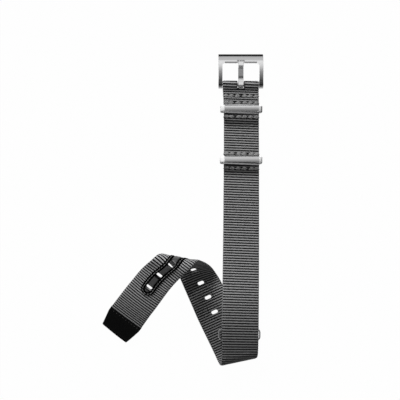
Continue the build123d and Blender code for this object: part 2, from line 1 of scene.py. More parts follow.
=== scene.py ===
"""Folded webbing watch strap with a pin buckle, three keepers, lined holes and a leather tip."""

import math

import bpy
import numpy as np
from bpy.props import FloatProperty, FloatVectorProperty, IntProperty, PointerProperty
from bpy.types import Operator, Panel, PropertyGroup
from mathutils import Matrix, Vector


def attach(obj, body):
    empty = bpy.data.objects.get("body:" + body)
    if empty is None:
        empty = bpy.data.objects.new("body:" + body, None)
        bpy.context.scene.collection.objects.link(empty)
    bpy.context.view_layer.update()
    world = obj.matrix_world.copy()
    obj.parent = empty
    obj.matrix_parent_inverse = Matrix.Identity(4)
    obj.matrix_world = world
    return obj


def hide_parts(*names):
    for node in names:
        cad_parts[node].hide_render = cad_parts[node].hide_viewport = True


bl_info = {
    "name": "Webbing Watch Strap",
    "version": (1, 0, 0),
    "blender": (4, 5, 0),
    "location": "View3D > Sidebar > Watch Strap",
    "description": "Builds a folded webbing watch strap around its packed frame",
    "category": "Object",
}

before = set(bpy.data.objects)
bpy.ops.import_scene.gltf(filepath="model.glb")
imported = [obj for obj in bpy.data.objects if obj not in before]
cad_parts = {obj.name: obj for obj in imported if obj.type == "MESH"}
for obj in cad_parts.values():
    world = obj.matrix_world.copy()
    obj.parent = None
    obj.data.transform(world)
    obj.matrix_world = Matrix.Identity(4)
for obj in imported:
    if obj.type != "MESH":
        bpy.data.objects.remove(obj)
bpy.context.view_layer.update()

MM = 0.001


def size(name, description, default):
    return FloatProperty(name=name, description=description, default=default, unit="LENGTH")


def tint(name, description, *default):
    return FloatVectorProperty(name=name, description=description, subtype="COLOR", size=3, default=default)


class StrapSizes(PropertyGroup):
    """Sizes of the webbing and of the way it lies folded."""

    width: size("Width", "Width of the webbing", 0.020)
    thickness: size("Thickness", "Webbing thickness between the grooves of its ribs", 0.00090)
    rib_pitch: size("Rib pitch", "Distance from one rib to the next", 0.00142)
    rib_height: size("Rib height", "Height of a rib over its grooves", 0.00021)
    scallop: size("Selvedge scallop", "Depth of the notches between the ribs' ends", 0.00022)
    rib_skew: FloatProperty(
        name="Rib skew", description="Slant of the ribs across the strap's long run", default=0.027)
    hole_pitch: size("Hole pitch", "Distance between adjustment holes", 0.00913)
    hole_from_tip: size("First hole", "Distance from the tip's end to the first hole", 0.03453)
    hole_count: IntProperty(name="Holes", description="Number of adjustment holes", default=9, min=1)
    hole_width: size("Hole width", "Size of a hole across the strap", 0.0036)
    hole_length: size("Hole length", "Size of a hole along the strap", 0.0021)


class LeatherSizes(PropertyGroup):
    """Sizes of the lining round the holes and of the tip."""

    lining_width: size("Lining width", "Width of the lining with its rim", 0.0082)
    lining_thickness: size("Lining thickness", "Thickness of the lining's panel", 0.0008)
    rim_width: size("Rim width", "Width of the stitched rim", 0.0023)
    lining_margin: size("Lining margin", "Lining beyond the middle of the last hole", 0.0053)
    tip_length: size("Tip length", "Length of the tip", 0.0103)
    tip_end: size("Tip end", "Width of the tip's blunt end", 0.0172)
    tip_thickness: size("Tip thickness", "Thickness of the tip over both faces", 0.00262)


class StrapColours(PropertyGroup):
    """Colours of the strap's materials."""

    rib: tint("Rib", "Webbing colour on a rib", 0.31, 0.31, 0.313)
    # The groove colour is nearly black: partly the webbing's own darker grooves, mostly painted shade between
    # the ribs.
    groove: tint("Groove", "Webbing colour between ribs", 0.0025, 0.0025, 0.0026)
    thread: tint("Thread", "Thick thread of the stitch rows", 0.29, 0.29, 0.29)
    seam: tint("Seam", "Thin thread round the lining and the tip", 0.40, 0.40, 0.40)
    lining: tint("Lining", "Smooth leather of the lining", 0.055, 0.055, 0.0555)
    tip: tint("Tip", "Grained leather of the tip", 0.0022, 0.0022, 0.0023)
    steel: tint("Steel", "Steel of the buckle and the keepers", 0.66, 0.66, 0.665)


# Where the strap lies on the floor, in millimetres and degrees, and the camera's place in metres
LEAN_DEGREES = 0.53
SIDE_OFFSET = 0.2
BAR_PLACE = (33.0579, 70.5093)
SEEN_FROM = (0.009858, 0.004869, 0.350)


class Course:
    """Middle line of a strip as straight runs and bends about slanting lines."""

    def __init__(self, place, heading, inner):
        self.state = tuple(np.array(values, float) for values in (place, heading, inner))
        self.steps = []
        self.length = 0.0

    def straight(self, run):
        if run > 0:
            place, heading, inner = self.state
            self.length += run
            self.state = (place + heading * run, heading, inner)

    def bend(self, radius, degrees, ruling=90.0):
        """Turns about a line that crosses the strip at the ruling's angle."""
        alpha, turn = math.radians(ruling), math.radians(degrees)
        place, heading, inner = self.state
        side = np.cross(inner, heading)
        line = heading * math.cos(alpha) + side * math.sin(alpha)
        ahead = heading * math.sin(alpha) - side * math.cos(alpha)
        length = radius * abs(turn) / math.sin(alpha)
        self.steps.append((self.length, length, radius, turn, alpha, place, line, ahead, inner, self.state))
        self.length += length
        self.state = self.turned(self.steps[-1], turn)

    @staticmethod
    def turned(step, angle):
        """Place, heading and inner side once a bend has turned by an angle."""
        _, _, radius, turn, alpha, place, line, ahead, inner, _ = step
        signed = math.copysign(radius, turn)
        middle = place + line * (radius * np.abs(angle) / math.tan(alpha))
        middle = middle + ahead * (signed * np.sin(angle)) + inner * (signed * (1 - np.cos(angle)))
        rolled = ahead * np.cos(angle) + inner * np.sin(angle)
        up = inner * np.cos(angle) - ahead * np.sin(angle)
        return middle, line * math.cos(alpha) + rolled * math.sin(alpha), up

    def shift(self, run, rise):
        """Two equal bends that lift the strip while it moves on."""
        radius = (run**2 + rise**2) / (4 * abs(rise))
        degrees = math.copysign(math.degrees(2 * math.atan2(abs(rise), run)), rise)
        self.bend(radius, degrees)
        self.bend(radius, -degrees)

    def fold(self, across, along, height):
        """Places of points of the flat strip, given in millimetres, once it lies folded."""
        across, along, height = (np.asarray(values, float) for values in (across, along, height))
        result = np.zeros((len(across), 3))
        left = np.ones(len(across), bool)
        anchor, start = self.steps[0][9], self.steps[0][0]
        for step in self.steps:
            first, length, _, turn, alpha = step[:5]
            reached = along + across / math.tan(alpha)
            flat = left & (reached < first)
            result[flat] = laid(anchor, along[flat] - start, across[flat], height[flat])
            left &= ~flat
            bent = left & (reached <= first + length)
            state = self.turned(step, (turn * ((reached[bent] - first) / length))[:, None])
            result[bent] = laid(state, along[bent] - reached[bent], across[bent], height[bent])
            left &= ~bent
            anchor, start = self.turned(step, turn), first + length
        result[left] = laid(anchor, along[left] - start, across[left], height[left])
        return rested(result)

    def state_at(self, distance):
        """Place, heading and inner side on a flat stretch at a distance along the course."""
        (place, heading, inner), start = self.steps[0][9], self.steps[0][0]
        for step in self.steps:
            if distance < step[0]:
                break
            (place, heading, inner), start = self.turned(step, step[3]), step[0] + step[1]
        return place + heading * (distance - start), heading, inner


def laid(state, ahead, across, height):
    """Places ahead of, across and above a state of the course."""
    place, heading, inner = state
    side = np.cross(heading, inner)
    return place + heading * ahead[:, None] + side * across[:, None] + inner * height[:, None]


def rested(points):
    """From the straight strap's own place to where it lies on the table, in metres."""
    angle = math.radians(-LEAN_DEGREES)
    x = points[:, 0] * math.cos(angle) - points[:, 1] * math.sin(angle) + SIDE_OFFSET
    y = points[:, 0] * math.sin(angle) + points[:, 1] * math.cos(angle)
    return np.stack((x + BAR_PLACE[0], y + BAR_PLACE[1], points[:, 2]), axis=1) * MM


# The folded course of the webbing, in millimetres and degrees, measured from the spring bar's middle
WEBBING = 1.2
LAYER_GAP = 0.05
LAYER = WEBBING + LAYER_GAP
LINING, LINING_GAP = 0.8, 0.03
KEEPER_PLACES = (14.2, 43.8)
BAND_HALF_WIDTH, BAND_HALF_DEPTH, BAND_GAP, BAND_TILT = 1.75, 0.4, 0.05, 7
KEEPER_ROOM = BAND_HALF_WIDTH * math.sin(math.radians(BAND_TILT)) + BAND_HALF_DEPTH + BAND_GAP
KEEPER_RISE = KEEPER_ROOM - LAYER_GAP / 2
MAIN_LEVEL = KEEPER_ROOM + WEBBING + LAYER / 2
TAIL_LEVEL = MAIN_LEVEL - LAYER
BAR_HEIGHT = 2.3
BAR_RADIUS, BAR_GAP = 0.9, 0.12
FOLD_RADIUS = BAR_RADIUS + BAR_GAP + WEBBING / 2
FOLD_RUN = 4.9
BULGE_FLAT = 3.7
BULGE_RUN = 1.35
BULGE = BULGE_FLAT + 2 * BULGE_RUN
TAIL_END = 19.8
INCLINE_START = 21.0
INCLINE_RADII = (40.0, 60.0)
LOOP_START = 140.9
LOOP_LEAD = 3.0
LOOP_HEIGHT = 15.0
LIP_RADIUS, LIP_DEGREES, LIP_RUN = 40.0, 13.2, 0.3
LEG_LEVEL = WEBBING / 2 + LINING + LINING_GAP
LEG_ANGLE = 25.0
LEG_LENGTH = 40.29
UPRIGHT, SHOULDER_RUN = 12.7, 0.2
ARCH_TO_TIP = 93.16
SHORT_START = 37.4
SHORT_BEND, SHORT_BEND_RADIUS = 50.5, 30.0
EYE_PLACE, EYE_HEIGHT, EYE_RUN, EYE_TAIL = 137.8, 6.5, 5.0, 9.0
EYE_GAP = 0.1
EYE_RADIUS = math.hypot(BAND_HALF_WIDTH, BAND_HALF_DEPTH) + EYE_GAP + WEBBING / 2

# Bends of the arch from its foot on, each with its radius, its degrees and its ruling's angle
FOOT_BEND, TOP_BEND = (11.67, 69.2, 59.1), (3.5, 108.4, 59.1)
SHOULDER_BEND, LANDING_BEND = (4.0, 35.0, 74.75), (25.85, -10.2, 57.1)


def climb():
    """Slope of the run that climbs to the big loop, and the length of its straight part."""
    run = LOOP_START - LOOP_LEAD - INCLINE_START
    rise = LOOP_HEIGHT - MAIN_LEVEL
    straight = math.sqrt(run**2 + rise**2 - 2 * sum(INCLINE_RADII) * rise)
    return math.degrees(2 * math.atan2(rise, run + straight)), straight


def bulge(course, side):
    """Lifts a strip over or under a keeper's band and back."""
    course.shift(BULGE_RUN, side * KEEPER_RISE)
    course.straight(BULGE_FLAT)
    course.shift(BULGE_RUN, -side * KEEPER_RISE)


def long_course():
    """Course of the long strip, and the distances at which its fold, its climb and its arch start."""
    slope, straight = climb()
    course = Course((0, -TAIL_END, TAIL_LEVEL), (0, 1, 0), (0, 0, 1))
    course.straight(TAIL_END - KEEPER_PLACES[0] - BULGE / 2)
    bulge(course, -1)
    course.straight(KEEPER_PLACES[0] - BULGE / 2 - FOLD_RUN)
    course.shift(FOLD_RUN, BAR_HEIGHT - FOLD_RADIUS - TAIL_LEVEL)
    fold_start = course.length
    course.bend(FOLD_RADIUS, 180)
    course.shift(FOLD_RUN, BAR_HEIGHT + FOLD_RADIUS - MAIN_LEVEL)
    course.straight(KEEPER_PLACES[0] - BULGE / 2 - FOLD_RUN)
    bulge(course, -1)
    course.straight(INCLINE_START - KEEPER_PLACES[0] - BULGE / 2)
    course.bend(INCLINE_RADII[0], -slope)
    climb_start = course.length
    climbed = INCLINE_START + INCLINE_RADII[0] * math.sin(math.radians(slope))
    before = (KEEPER_PLACES[1] - climbed) / math.cos(math.radians(slope))
    course.straight(before - BULGE / 2)
    bulge(course, -1)
    course.straight(straight - before - BULGE / 2)
    course.bend(INCLINE_RADII[1], slope)
    course.straight(LOOP_LEAD)
    ruling = 90 - LEG_ANGLE / 2
    turn = math.radians(LIP_DEGREES)
    drop = LIP_RADIUS * (1 - math.cos(turn)) + LIP_RUN * math.sin(turn)
    course.bend(LIP_RADIUS, LIP_DEGREES, ruling)
    course.straight(LIP_RUN / math.sin(math.radians(ruling)))
    course.bend((LOOP_HEIGHT - LEG_LEVEL - drop) / (1 + math.cos(turn)), 180 - LIP_DEGREES, ruling)
    course.straight(LEG_LENGTH)
    arch_start = course.length
    course.bend(*FOOT_BEND)
    course.straight(UPRIGHT)
    course.bend(*TOP_BEND)
    course.bend(*SHOULDER_BEND)
    course.straight(SHOULDER_RUN)
    course.bend(*LANDING_BEND)
    course.straight(arch_start + ARCH_TO_TIP - course.length)
    return course, fold_start, climb_start, climbed, arch_start


def short_course(main, climb_start, climbed):
    """Course of the short strip, which starts under the long one and ends in the keeper's eye."""
    slope = climb()[0]
    tilt = math.cos(math.radians(slope))
    place, heading, inner = main.state_at(climb_start + (SHORT_START - climbed) / tilt)
    course = Course(place + inner * LAYER, heading, inner)
    course.straight((KEEPER_PLACES[1] - SHORT_START) / tilt - BULGE / 2)
    bulge(course, 1)
    course.straight((SHORT_BEND - KEEPER_PLACES[1]) / tilt - BULGE / 2)
    place = course.state[0]
    fall = place[2] - (EYE_HEIGHT + LAYER / 2)
    reach = EYE_PLACE - EYE_RUN - abs(place[1])
    turn = slope + math.degrees(math.atan2(fall, reach))
    course.bend(SHORT_BEND_RADIUS, turn)
    course.straight(math.hypot(fall, reach) - SHORT_BEND_RADIUS * math.radians(turn))
    course.shift(EYE_RUN, LAYER / 2 - EYE_RADIUS)
    course.bend(EYE_RADIUS, 180)
    course.shift(EYE_RUN, EYE_RADIUS - LAYER / 2)
    course.straight(EYE_TAIL)
    return course


LONG, FOLD_START, CLIMB_START, CLIMBED, ARCH_START = long_course()
SHORT = short_course(LONG, CLIMB_START, CLIMBED)
FOLD_MIDDLE = FOLD_START + math.pi * FOLD_RADIUS / 2

# The webbing is drawn a little longer on the leg that ends in the tip
DRAWN_FROM = LONG.length - 37.82
DRAWN_FLAT = (DRAWN_FROM, DRAWN_FROM + 7.36, DRAWN_FROM + 34.53)
DRAWN_LONG = (DRAWN_FROM, DRAWN_FROM + 7.82, LONG.length)
FLAT_LENGTH = DRAWN_FLAT[2]


def bulge_surplus():
    """How much longer a bulge is than its place along the strap."""
    radius = (BULGE_RUN**2 + KEEPER_RISE**2) / (4 * KEEPER_RISE)
    return 2 * (radius * 4 * math.atan2(KEEPER_RISE, BULGE_RUN) - BULGE_RUN)


def upper_distance(place):
    """Distance along the long strip of a place on its upper layer, measured from the bar."""
    slope = math.radians(climb()[0])
    if place > CLIMBED:
        extra = bulge_surplus() if place > KEEPER_PLACES[1] else 0
        return CLIMB_START + extra + (place - CLIMBED) / math.cos(slope)
    extra = -bulge_surplus() if place < KEEPER_PLACES[0] else 0
    return CLIMB_START - INCLINE_RADII[0] * slope - INCLINE_START + place + extra


def tail_distance(place):
    return TAIL_END - place + (bulge_surplus() if place < KEEPER_PLACES[0] else 0)


def short_distance(place):
    slope = math.cos(math.radians(climb()[0]))
    return (place - SHORT_START) / slope + (bulge_surplus() if place > KEEPER_PLACES[1] else 0)


# Helpers for making pieces


def deselect():
    if bpy.context.object and bpy.context.object.mode != "OBJECT":
        bpy.ops.object.mode_set(mode="OBJECT")
    bpy.ops.object.select_all(action="DESELECT")


def activate(piece):
    deselect()
    piece.select_set(True)
    bpy.context.view_layer.objects.active = piece


def named(name):
    piece = bpy.context.active_object
    piece.name = name
    piece.data.name = name
    return piece


def points_of(piece):
    values = np.empty(len(piece.data.vertices) * 3)
    piece.data.vertices.foreach_get("co", values)
    return values.reshape(-1, 3)


def set_points(piece, values):
    piece.data.vertices.foreach_set("co", np.ascontiguousarray(values, dtype=float).ravel())
    piece.data.update()


def mark_points(piece, name, values):
    """Keeps a value of each point as an attribute."""
    piece.data.attributes.new(name, "FLOAT", "POINT").data.foreach_set("value", values)


def flat_slab(name, columns, rows):
    """A closed slab one unit wide, long and thick, with a grid of faces on both sides."""
    deselect()
    bpy.ops.mesh.primitive_grid_add(x_subdivisions=columns, y_subdivisions=rows, size=1)
    piece = named(name)
    bpy.ops.object.mode_set(mode="EDIT")
    bpy.ops.mesh.select_all(action="SELECT")
    bpy.ops.mesh.extrude_region_move(TRANSFORM_OT_translate={"value": (0, 0, 1)})
    bpy.ops.mesh.select_all(action="SELECT")
    bpy.ops.transform.translate(value=(0, 0, -0.5))
    bpy.ops.mesh.normals_make_consistent(inside=False)
    bpy.ops.object.mode_set(mode="OBJECT")
    return piece


def write_flat_map(piece):
    """Keeps each point's place on the flat strip, in millimetres, as the piece's UV map."""
    mesh = piece.data
    layer = mesh.uv_layers[0] if mesh.uv_layers else mesh.uv_layers.new(name="flat")
    layer.name = "flat"
    corners = np.empty(len(mesh.loops), dtype=np.int32)
    mesh.loops.foreach_get("vertex_index", corners)
    flat = points_of(piece)[corners, :2]
    layer.data.foreach_set("uv", np.ascontiguousarray(flat, dtype=float).ravel())


def fold_piece(piece, course, skew=0.0):
    """Wraps a piece made flat, in millimetres, along a strip's course."""
    write_flat_map(piece)
    across, along, height = points_of(piece).T
    along = along + across * skew * run_share(along)
    if course is LONG:
        drawn = np.interp(along, DRAWN_FLAT, DRAWN_LONG) + np.maximum(along - FLAT_LENGTH, 0)
        along = np.where(along > DRAWN_FROM, drawn, along)
        across = spread(across, along)
        folded = softened(across, along, height) + settled(across, along)
    else:
        folded = course.fold(across, along, height)
    folded = folded + sway(folded)
    set_points(piece, sunk(folded) if course is LONG else folded)


# The ribs' slant starts this far before the big loop, and comes in over this length
SLANT_LEAD, SLANT_RUN = 30, 45


def run_share(along):
    """How much a point belongs to the strap's long run, from 1 on it to 0 on the legs."""
    start = upper_distance(LOOP_START) - SLANT_LEAD
    return np.clip((start + SLANT_RUN - along) / SLANT_RUN, 0, 1)


# Reach of the squeeze along the strap, its share of the width and its shift to one side
SQUEEZE_REACH, SQUEEZE_SHARE, SQUEEZE_ASIDE = 9.0, 0.030, 0.28


def spread(across, along):
    """The webbing is squeezed a little wider where it turns round the bar."""
    near = np.exp(-(((along - FOLD_MIDDLE) / SQUEEZE_REACH) ** 2))
    return across * (1 + SQUEEZE_SHARE * near) - SQUEEZE_ASIDE * near


# Distance between the places that are averaged, the fall of their weights and the length of the lead-in
EASE_STEP, EASE_FALL, EASE_LEAD = 1.024, 5.12, 6


def softened(across, along, height):
    """Folded places with the arch's changes of bend eased into each other."""
    share = np.clip((along - ARCH_START + EASE_LEAD) / EASE_LEAD, 0, 1)
    result, total = 0.0, 0.0
    for step in range(-3, 4):
        off = EASE_STEP * step
        weight = math.exp(-(off**2) / EASE_FALL)
        result = result + weight * LONG.fold(across, along + off * share, height)
        total += weight
    return result / total


# Soft pushes of the arch off its plain course, aside and ahead.
# Each row has a distance from the tip, and the pushes at three places across the strap.
PUSHES = np.array([
    (distance, across) + push
    for distance, *pushes in (
        (0, (-0.40, -0.60), (0.48, -1.45), (-1.03, -1.04)),
        (10, (0.17, 1.25), (1.24, -0.26), (1.34, 1.15)),
        (20, (0.34, -0.57), (-1.10, 0.28), (-0.06, -0.65)),
        (29, (-0.40, 0.14), (0.15, 0.03), (0.23, 0.03)),
        (38, (0.82, 0.50), (-0.37, -0.92), (-0.06, 0.75)),
        (47, (-1.01, -0.48), (-0.57, 0.76), (-0.57, -0.55)),
        (56, (2.57, -0.77), (1.58, 0.41), (-0.38, 0.87)),
        (63, (0.23, 2.93), (-0.90, -2.83), (0.69, 0.56)),
        (70, (-1.69, -0.72), (0.65, 1.09), (-0.13, -1.15)),
        (78, (1.22, -0.70), (-0.85, 0.81), (0.48, 0.88)),
        (87, (-0.28, 0.67), (-0.41, -0.71), (-0.14, -0.30)),
        (97, (0.04, -0.24), (-0.04, 0.10), (0.51, 0.34)),
        (108, (-0.45, -0.15), (0.28, 0.09), (-0.30, -0.16)),
        (118, (-0.28, -0.13), (0.19, 0.01), (-0.06, -0.01)),
    )
    for across, push in zip((-9.5, 0, 9.5), pushes)
])
PUSH_REACH = 11.0


def settled(across, along):
    """How far the pushes move each point, in metres."""
    places = np.stack((LONG.length - along, across), axis=1)
    gaps = (places[:, None, :] - PUSHES[None, :, :2]) / PUSH_REACH
    result = np.zeros((len(along), 3))
    result[:, :2] = np.exp(-(gaps**2).sum(axis=2)) @ PUSHES[:, 2:] * MM
    return result


# How deep the run curves down, where that starts, over what length and from what height
SINK_DEPTH, SINK_START, SINK_RUN, SINK_HEIGHT = 1.5, -48.0, 27.0, 10.5


def sunk(points):
    """The run curves down towards the big fold, and every point keeps its place as seen from above."""
    x, y, z = points.T / MM
    high = np.clip((z - LEG_LEVEL) / SINK_HEIGHT, 0, 1)
    near = np.clip((SINK_START - y) / SINK_RUN, 0, 1.1)
    on_run = np.clip((x - 14.0) / 6.0, 0, 1)
    seen_from = np.array(SEEN_FROM)
    level = points[:, 2] - SINK_DEPTH * near**2 * high * on_run * MM
    scale = (seen_from[2] - level) / (seen_from[2] - points[:, 2])
    return seen_from + (points - seen_from) * scale[:, None]


def sway(points):
    """The long run's slight bow to one side."""
    x, y, _ = points.T / MM
    aside = np.interp(y, (-88, -70, -45, -10, 30, 55, 68, 90), (0, 0, 0.25, 0.40, 0.42, 0.30, 0, 0))
    return np.outer(aside * np.clip((x - 19.0) / 3.0, 0, 1) * MM, (1, 0, 0))


def tidy(piece, smooth_degrees=50.0, merge=0.000001):
    """Merges doubled points, turns faces outwards and smooths the gentle edges."""
    activate(piece)
    bpy.ops.object.mode_set(mode="EDIT")
    bpy.ops.mesh.select_all(action="SELECT")
    bpy.ops.mesh.remove_doubles(threshold=merge)
    bpy.ops.mesh.normals_make_consistent(inside=False)
    bpy.ops.object.mode_set(mode="OBJECT")
    bpy.ops.object.shade_smooth_by_angle(angle=math.radians(smooth_degrees))


def joined(name, pieces):
    activate(pieces[0])
    for piece in pieces:
        piece.select_set(True)
    if len(pieces) > 1:
        bpy.ops.object.join()
    return named(name)


def placed(model, across, along, level, turn, flip=None):
    """A copy of a stitch on the flat strip, turned there and flipped about an axis for the other face."""
    matrix = Matrix.Translation((across, along, level)) @ Matrix.Rotation(turn, 4, "Z")
    twin = model.copy()
    twin.data = model.data.copy()
    bpy.context.collection.objects.link(twin)
    twin.data.transform(matrix @ Matrix.Rotation(math.pi, 4, flip) if flip else matrix)
    return twin


def applied(piece, kind, **values):
    """Gives the active piece a modifier and applies it."""
    modifier = piece.modifiers.new("shape", kind)
    for name, value in values.items():
        setattr(modifier, name, value)
    bpy.ops.object.modifier_apply(modifier="shape")


def slot_cutter(name, width, lengths, depth, places, corner=0.85):
    """Round-cornered cutters in millimetres, one of each length at each place along the flat strip."""
    cutters = []
    for place, length in zip(places, lengths):
        deselect()
        bpy.ops.mesh.primitive_cube_add(size=1)
        cutter = named(name)
        mesh = cutter.data
        mesh.transform(Matrix.Diagonal((width, length, depth, 1)))
        levels = [[mesh.vertices[index].co.z for index in edge.vertices] for edge in mesh.edges]
        weights = mesh.attributes.new("bevel_weight_edge", "FLOAT", "EDGE")
        weights.data.foreach_set("value", [float(max(pair) - min(pair) > depth / 2) for pair in levels])
        applied(cutter, "BEVEL", width=corner, segments=5, affect="EDGES", limit_method="WEIGHT")
        mesh.transform(Matrix.Translation((0, place, 0)))
        cutters.append(cutter)
    return joined(name, cutters)


def cut(piece, cutter):
    activate(piece)
    applied(piece, "BOOLEAN", object=cutter, operation="DIFFERENCE", solver="EXACT")
    bpy.data.objects.remove(cutter)


def hole_places(sizes):
    offs = [sizes.hole_from_tip + sizes.hole_pitch * index for index in range(sizes.hole_count)]
    return [FLAT_LENGTH - off / MM for off in offs]


# How much longer each hole is, from the tip on, where the strip climbs over the arch
HOLE_STRETCH = (0.3, 0.1, 1.5, 0.2, 0.3, 0.5, 0.0)


def cut_holes(piece, sizes, depth, more=0.0):
    places = hole_places(sizes)
    lengths = [sizes.hole_length / MM + more + HOLE_STRETCH[min(index, 6)] for index in range(len(places))]
    cut(piece, slot_cutter("holes", sizes.hole_width / MM + more / 2, lengths, depth, places))


# Materials


class Nodes:
    """Short ways to add and link nodes in one tree."""

    def __init__(self, tree):
        self.tree = tree
        tree.nodes.clear()

    def add(self, kind, inputs=None, **values):
        """A shader node with its settings, and with values or links at its inputs."""
        node = self.tree.nodes.new("ShaderNode" + kind)
        for name, value in values.items():
            setattr(node, name, value)
        self.feed(node, inputs or {})
        return node

    def feed(self, node, inputs):
        for name, value in inputs.items():
            if isinstance(value, bpy.types.NodeSocket):
                self.tree.links.new(value, node.inputs[name])
            else:
                node.inputs[name].default_value = value

    def math(self, operation, *values):
        return self.add("Math", dict(enumerate(values)), operation=operation).outputs[0]

    def plus(self, *values):
        return self.math("ADD", *values)

    def minus(self, *values):
        return self.math("SUBTRACT", *values)

    def times(self, *values):
        return self.math("MULTIPLY", *values)

    def mix(self, share, low, high):
        return self.add("Mix", {"Factor": share, 6: low, 7: high}, data_type="RGBA").outputs[2]

    def blend(self, share, first, second):
        return self.add("MixShader", {0: share, 1: first, 2: second}).outputs[0]

    def noise(self, place, scale, detail=2.0, **values):
        return self.add("TexNoise", {"Vector": place, "Scale": scale, "Detail": detail}, **values).outputs[0]

    def remap(self, value, low, high, to_low=0.0, to_high=1.0, kind="LINEAR"):
        levels = {"Value": value, "From Min": low, "From Max": high, "To Min": to_low, "To Max": to_high}
        return self.add("MapRange", levels, interpolation_type=kind).outputs[0]

    def apart(self, vector):
        return self.add("SeparateXYZ", {0: vector}).outputs

    def place(self):
        return self.add("TexCoord").outputs["Object"]

    def marked(self, name):
        return self.add("Attribute", attribute_name=name).outputs["Fac"]

    def ramp(self, share, stops):
        """Grey levels at positions from 0 to 1."""
        node = self.add("ValToRGB", {0: share})
        elements = node.color_ramp.elements
        while len(elements) > 1:
            elements.remove(elements[-1])
        for index, (position, value) in enumerate(stops):
            stop = elements[0] if index == 0 else elements.new(position)
            stop.position = position
            stop.color = (value, value, value, 1)
        return node.outputs[0]

    def ramp_along(self, start, end, stops):
        """Levels that change along the object between two places, in millimetres."""
        span = end - start
        share = self.group("Share along", share_group, Place=self.place(), Start=start * MM, Span=span * MM)
        return self.ramp(share["Share"], [((where - start) / span, value) for where, value in stops])

    def group(self, name, make, **inputs):
        tree = bpy.data.node_groups.get(name) or make(name)
        return self.add("Group", inputs, node_tree=tree).outputs

    def leave(self, **values):
        self.feed(self.tree.nodes.new("NodeGroupOutput"), values)
        return self.tree

    def look(self, **values):
        """Sets the principled shader's inputs."""
        self.feed(self.shader, {name.replace("_", " "): value for name, value in values.items()})

    def base(self):
        return self.shader.inputs["Base Color"].links[0].from_socket

    def bumped(self, height, distance, strength=1.0):
        """Adds a bump beneath those that the shader has."""
        bump = self.add("Bump", {"Strength": strength, "Distance": distance, "Height": height})
        normal = self.shader.inputs["Normal"]
        while normal.links:
            normal = normal.links[0].from_node.inputs["Normal"]
        self.tree.links.new(bump.outputs[0], normal)


def new_group(name, entries, results):
    """A node group with vector inputs, or floats where a number is given, and with float outputs."""
    group = bpy.data.node_groups.new(name, "ShaderNodeTree")
    for label, default in entries.items():
        kind = "NodeSocketFloat" if isinstance(default, float) else "NodeSocketVector"
        group.interface.new_socket(name=label, in_out="INPUT", socket_type=kind)
    for label in results:
        group.interface.new_socket(name=label, in_out="OUTPUT", socket_type="NodeSocketFloat")
    nodes = Nodes(group)
    return nodes, group.nodes.new("NodeGroupInput").outputs


def share_group(name):
    """Share of the way between two places along the object."""
    nodes, entry = new_group(name, {"Place": None, "Start": 0.0, "Span": 1.0}, ("Share",))
    off = nodes.minus(nodes.apart(entry["Place"])[1], entry["Start"])
    return nodes.leave(Share=nodes.math("DIVIDE", off, entry["Span"]))


def weave_group(name):
    """Ribs, warp yarns and their small unevenness, from a place on the flat strip in millimetres."""
    nodes, entry = new_group(name, {"Place": None, "Pitch": 1.42, "Yarn": 0.62}, ("Rib", "Shade", "Height"))
    across, along, _ = nodes.apart(entry["Place"])
    turns = nodes.math("DIVIDE", along, entry["Pitch"])
    number = nodes.math("FLOOR", turns)
    centred = nodes.minus(nodes.times(nodes.minus(turns, number), 2.0), 1.0)
    dome = nodes.math("SQRT", nodes.math("MAXIMUM", nodes.minus(1.0, nodes.times(centred, centred)), 0.0))
    yarn = nodes.plus(nodes.math("DIVIDE", across, entry["Yarn"]), nodes.times(number, 0.5))
    wave = nodes.math("ABSOLUTE", nodes.math("SINE", nodes.times(yarn, math.pi)))
    spot = nodes.add("CombineXYZ", {0: nodes.times(across, 1.6), 1: nodes.times(number, 3.7)}).outputs[0]
    patch = nodes.noise(spot, 0.55, 3.0, noise_dimensions="2D")
    fuzz = nodes.noise(entry["Place"], 4.5, 4.0, noise_dimensions="2D")
    shade = nodes.plus(nodes.plus(nodes.times(patch, 0.62), nodes.times(wave, 0.22)), nodes.times(fuzz, 0.34))
    height = nodes.plus(nodes.times(wave, 0.55), nodes.times(fuzz, 0.45))
    return nodes.leave(Rib=dome, Shade=shade, Height=height)


def fibre_group(name):
    """Fine fibres of a thread."""
    nodes, entry = new_group(name, {"Place": None, "Scale": 2600.0}, ("Fibre",))
    return nodes.leave(Fibre=nodes.noise(entry["Place"], entry["Scale"], 4.0))


def grain_group(name):
    """Small pebbles of leather with fine creases between them."""
    nodes, entry = new_group(name, {"Place": None, "Scale": 1500.0}, ("Height", "Patch"))
    place, scale = entry["Place"], entry["Scale"]
    cells = nodes.add("TexVoronoi", {"Vector": place, "Scale": scale}, feature="F1").outputs[0]
    fine = nodes.noise(place, nodes.times(scale, 2.1), 4.0)
    wide = nodes.noise(place, nodes.times(scale, 0.16))
    return nodes.leave(Height=nodes.plus(nodes.times(cells, 0.7), nodes.times(fine, 0.5)), Patch=wide)


def brush_group(name):
    """Fine scratches that run along one way of the object."""
    nodes, entry = new_group(name, {"Place": None, "Stretch": None}, ("Height", "Smear"))
    stretched = nodes.add("VectorMath", {0: entry["Place"], 1: entry["Stretch"]}, operation="MULTIPLY")
    fine = nodes.noise(stretched.outputs[0], 1.0, 3.0)
    return nodes.leave(Height=fine, Smear=nodes.noise(entry["Place"], 260.0))


def new_material(name):
    material = bpy.data.materials.new(name)
    material.use_nodes = True
    nodes = Nodes(material.node_tree)
    nodes.shader = nodes.add("BsdfPrincipled")
    nodes.out = nodes.add("OutputMaterial", {0: nodes.shader.outputs[0]})
    return nodes


def solid(colour, factor=1.0):
    return tuple(min(1.0, value * factor) for value in colour) + (1.0,)


BLACK = (0, 0, 0, 1)


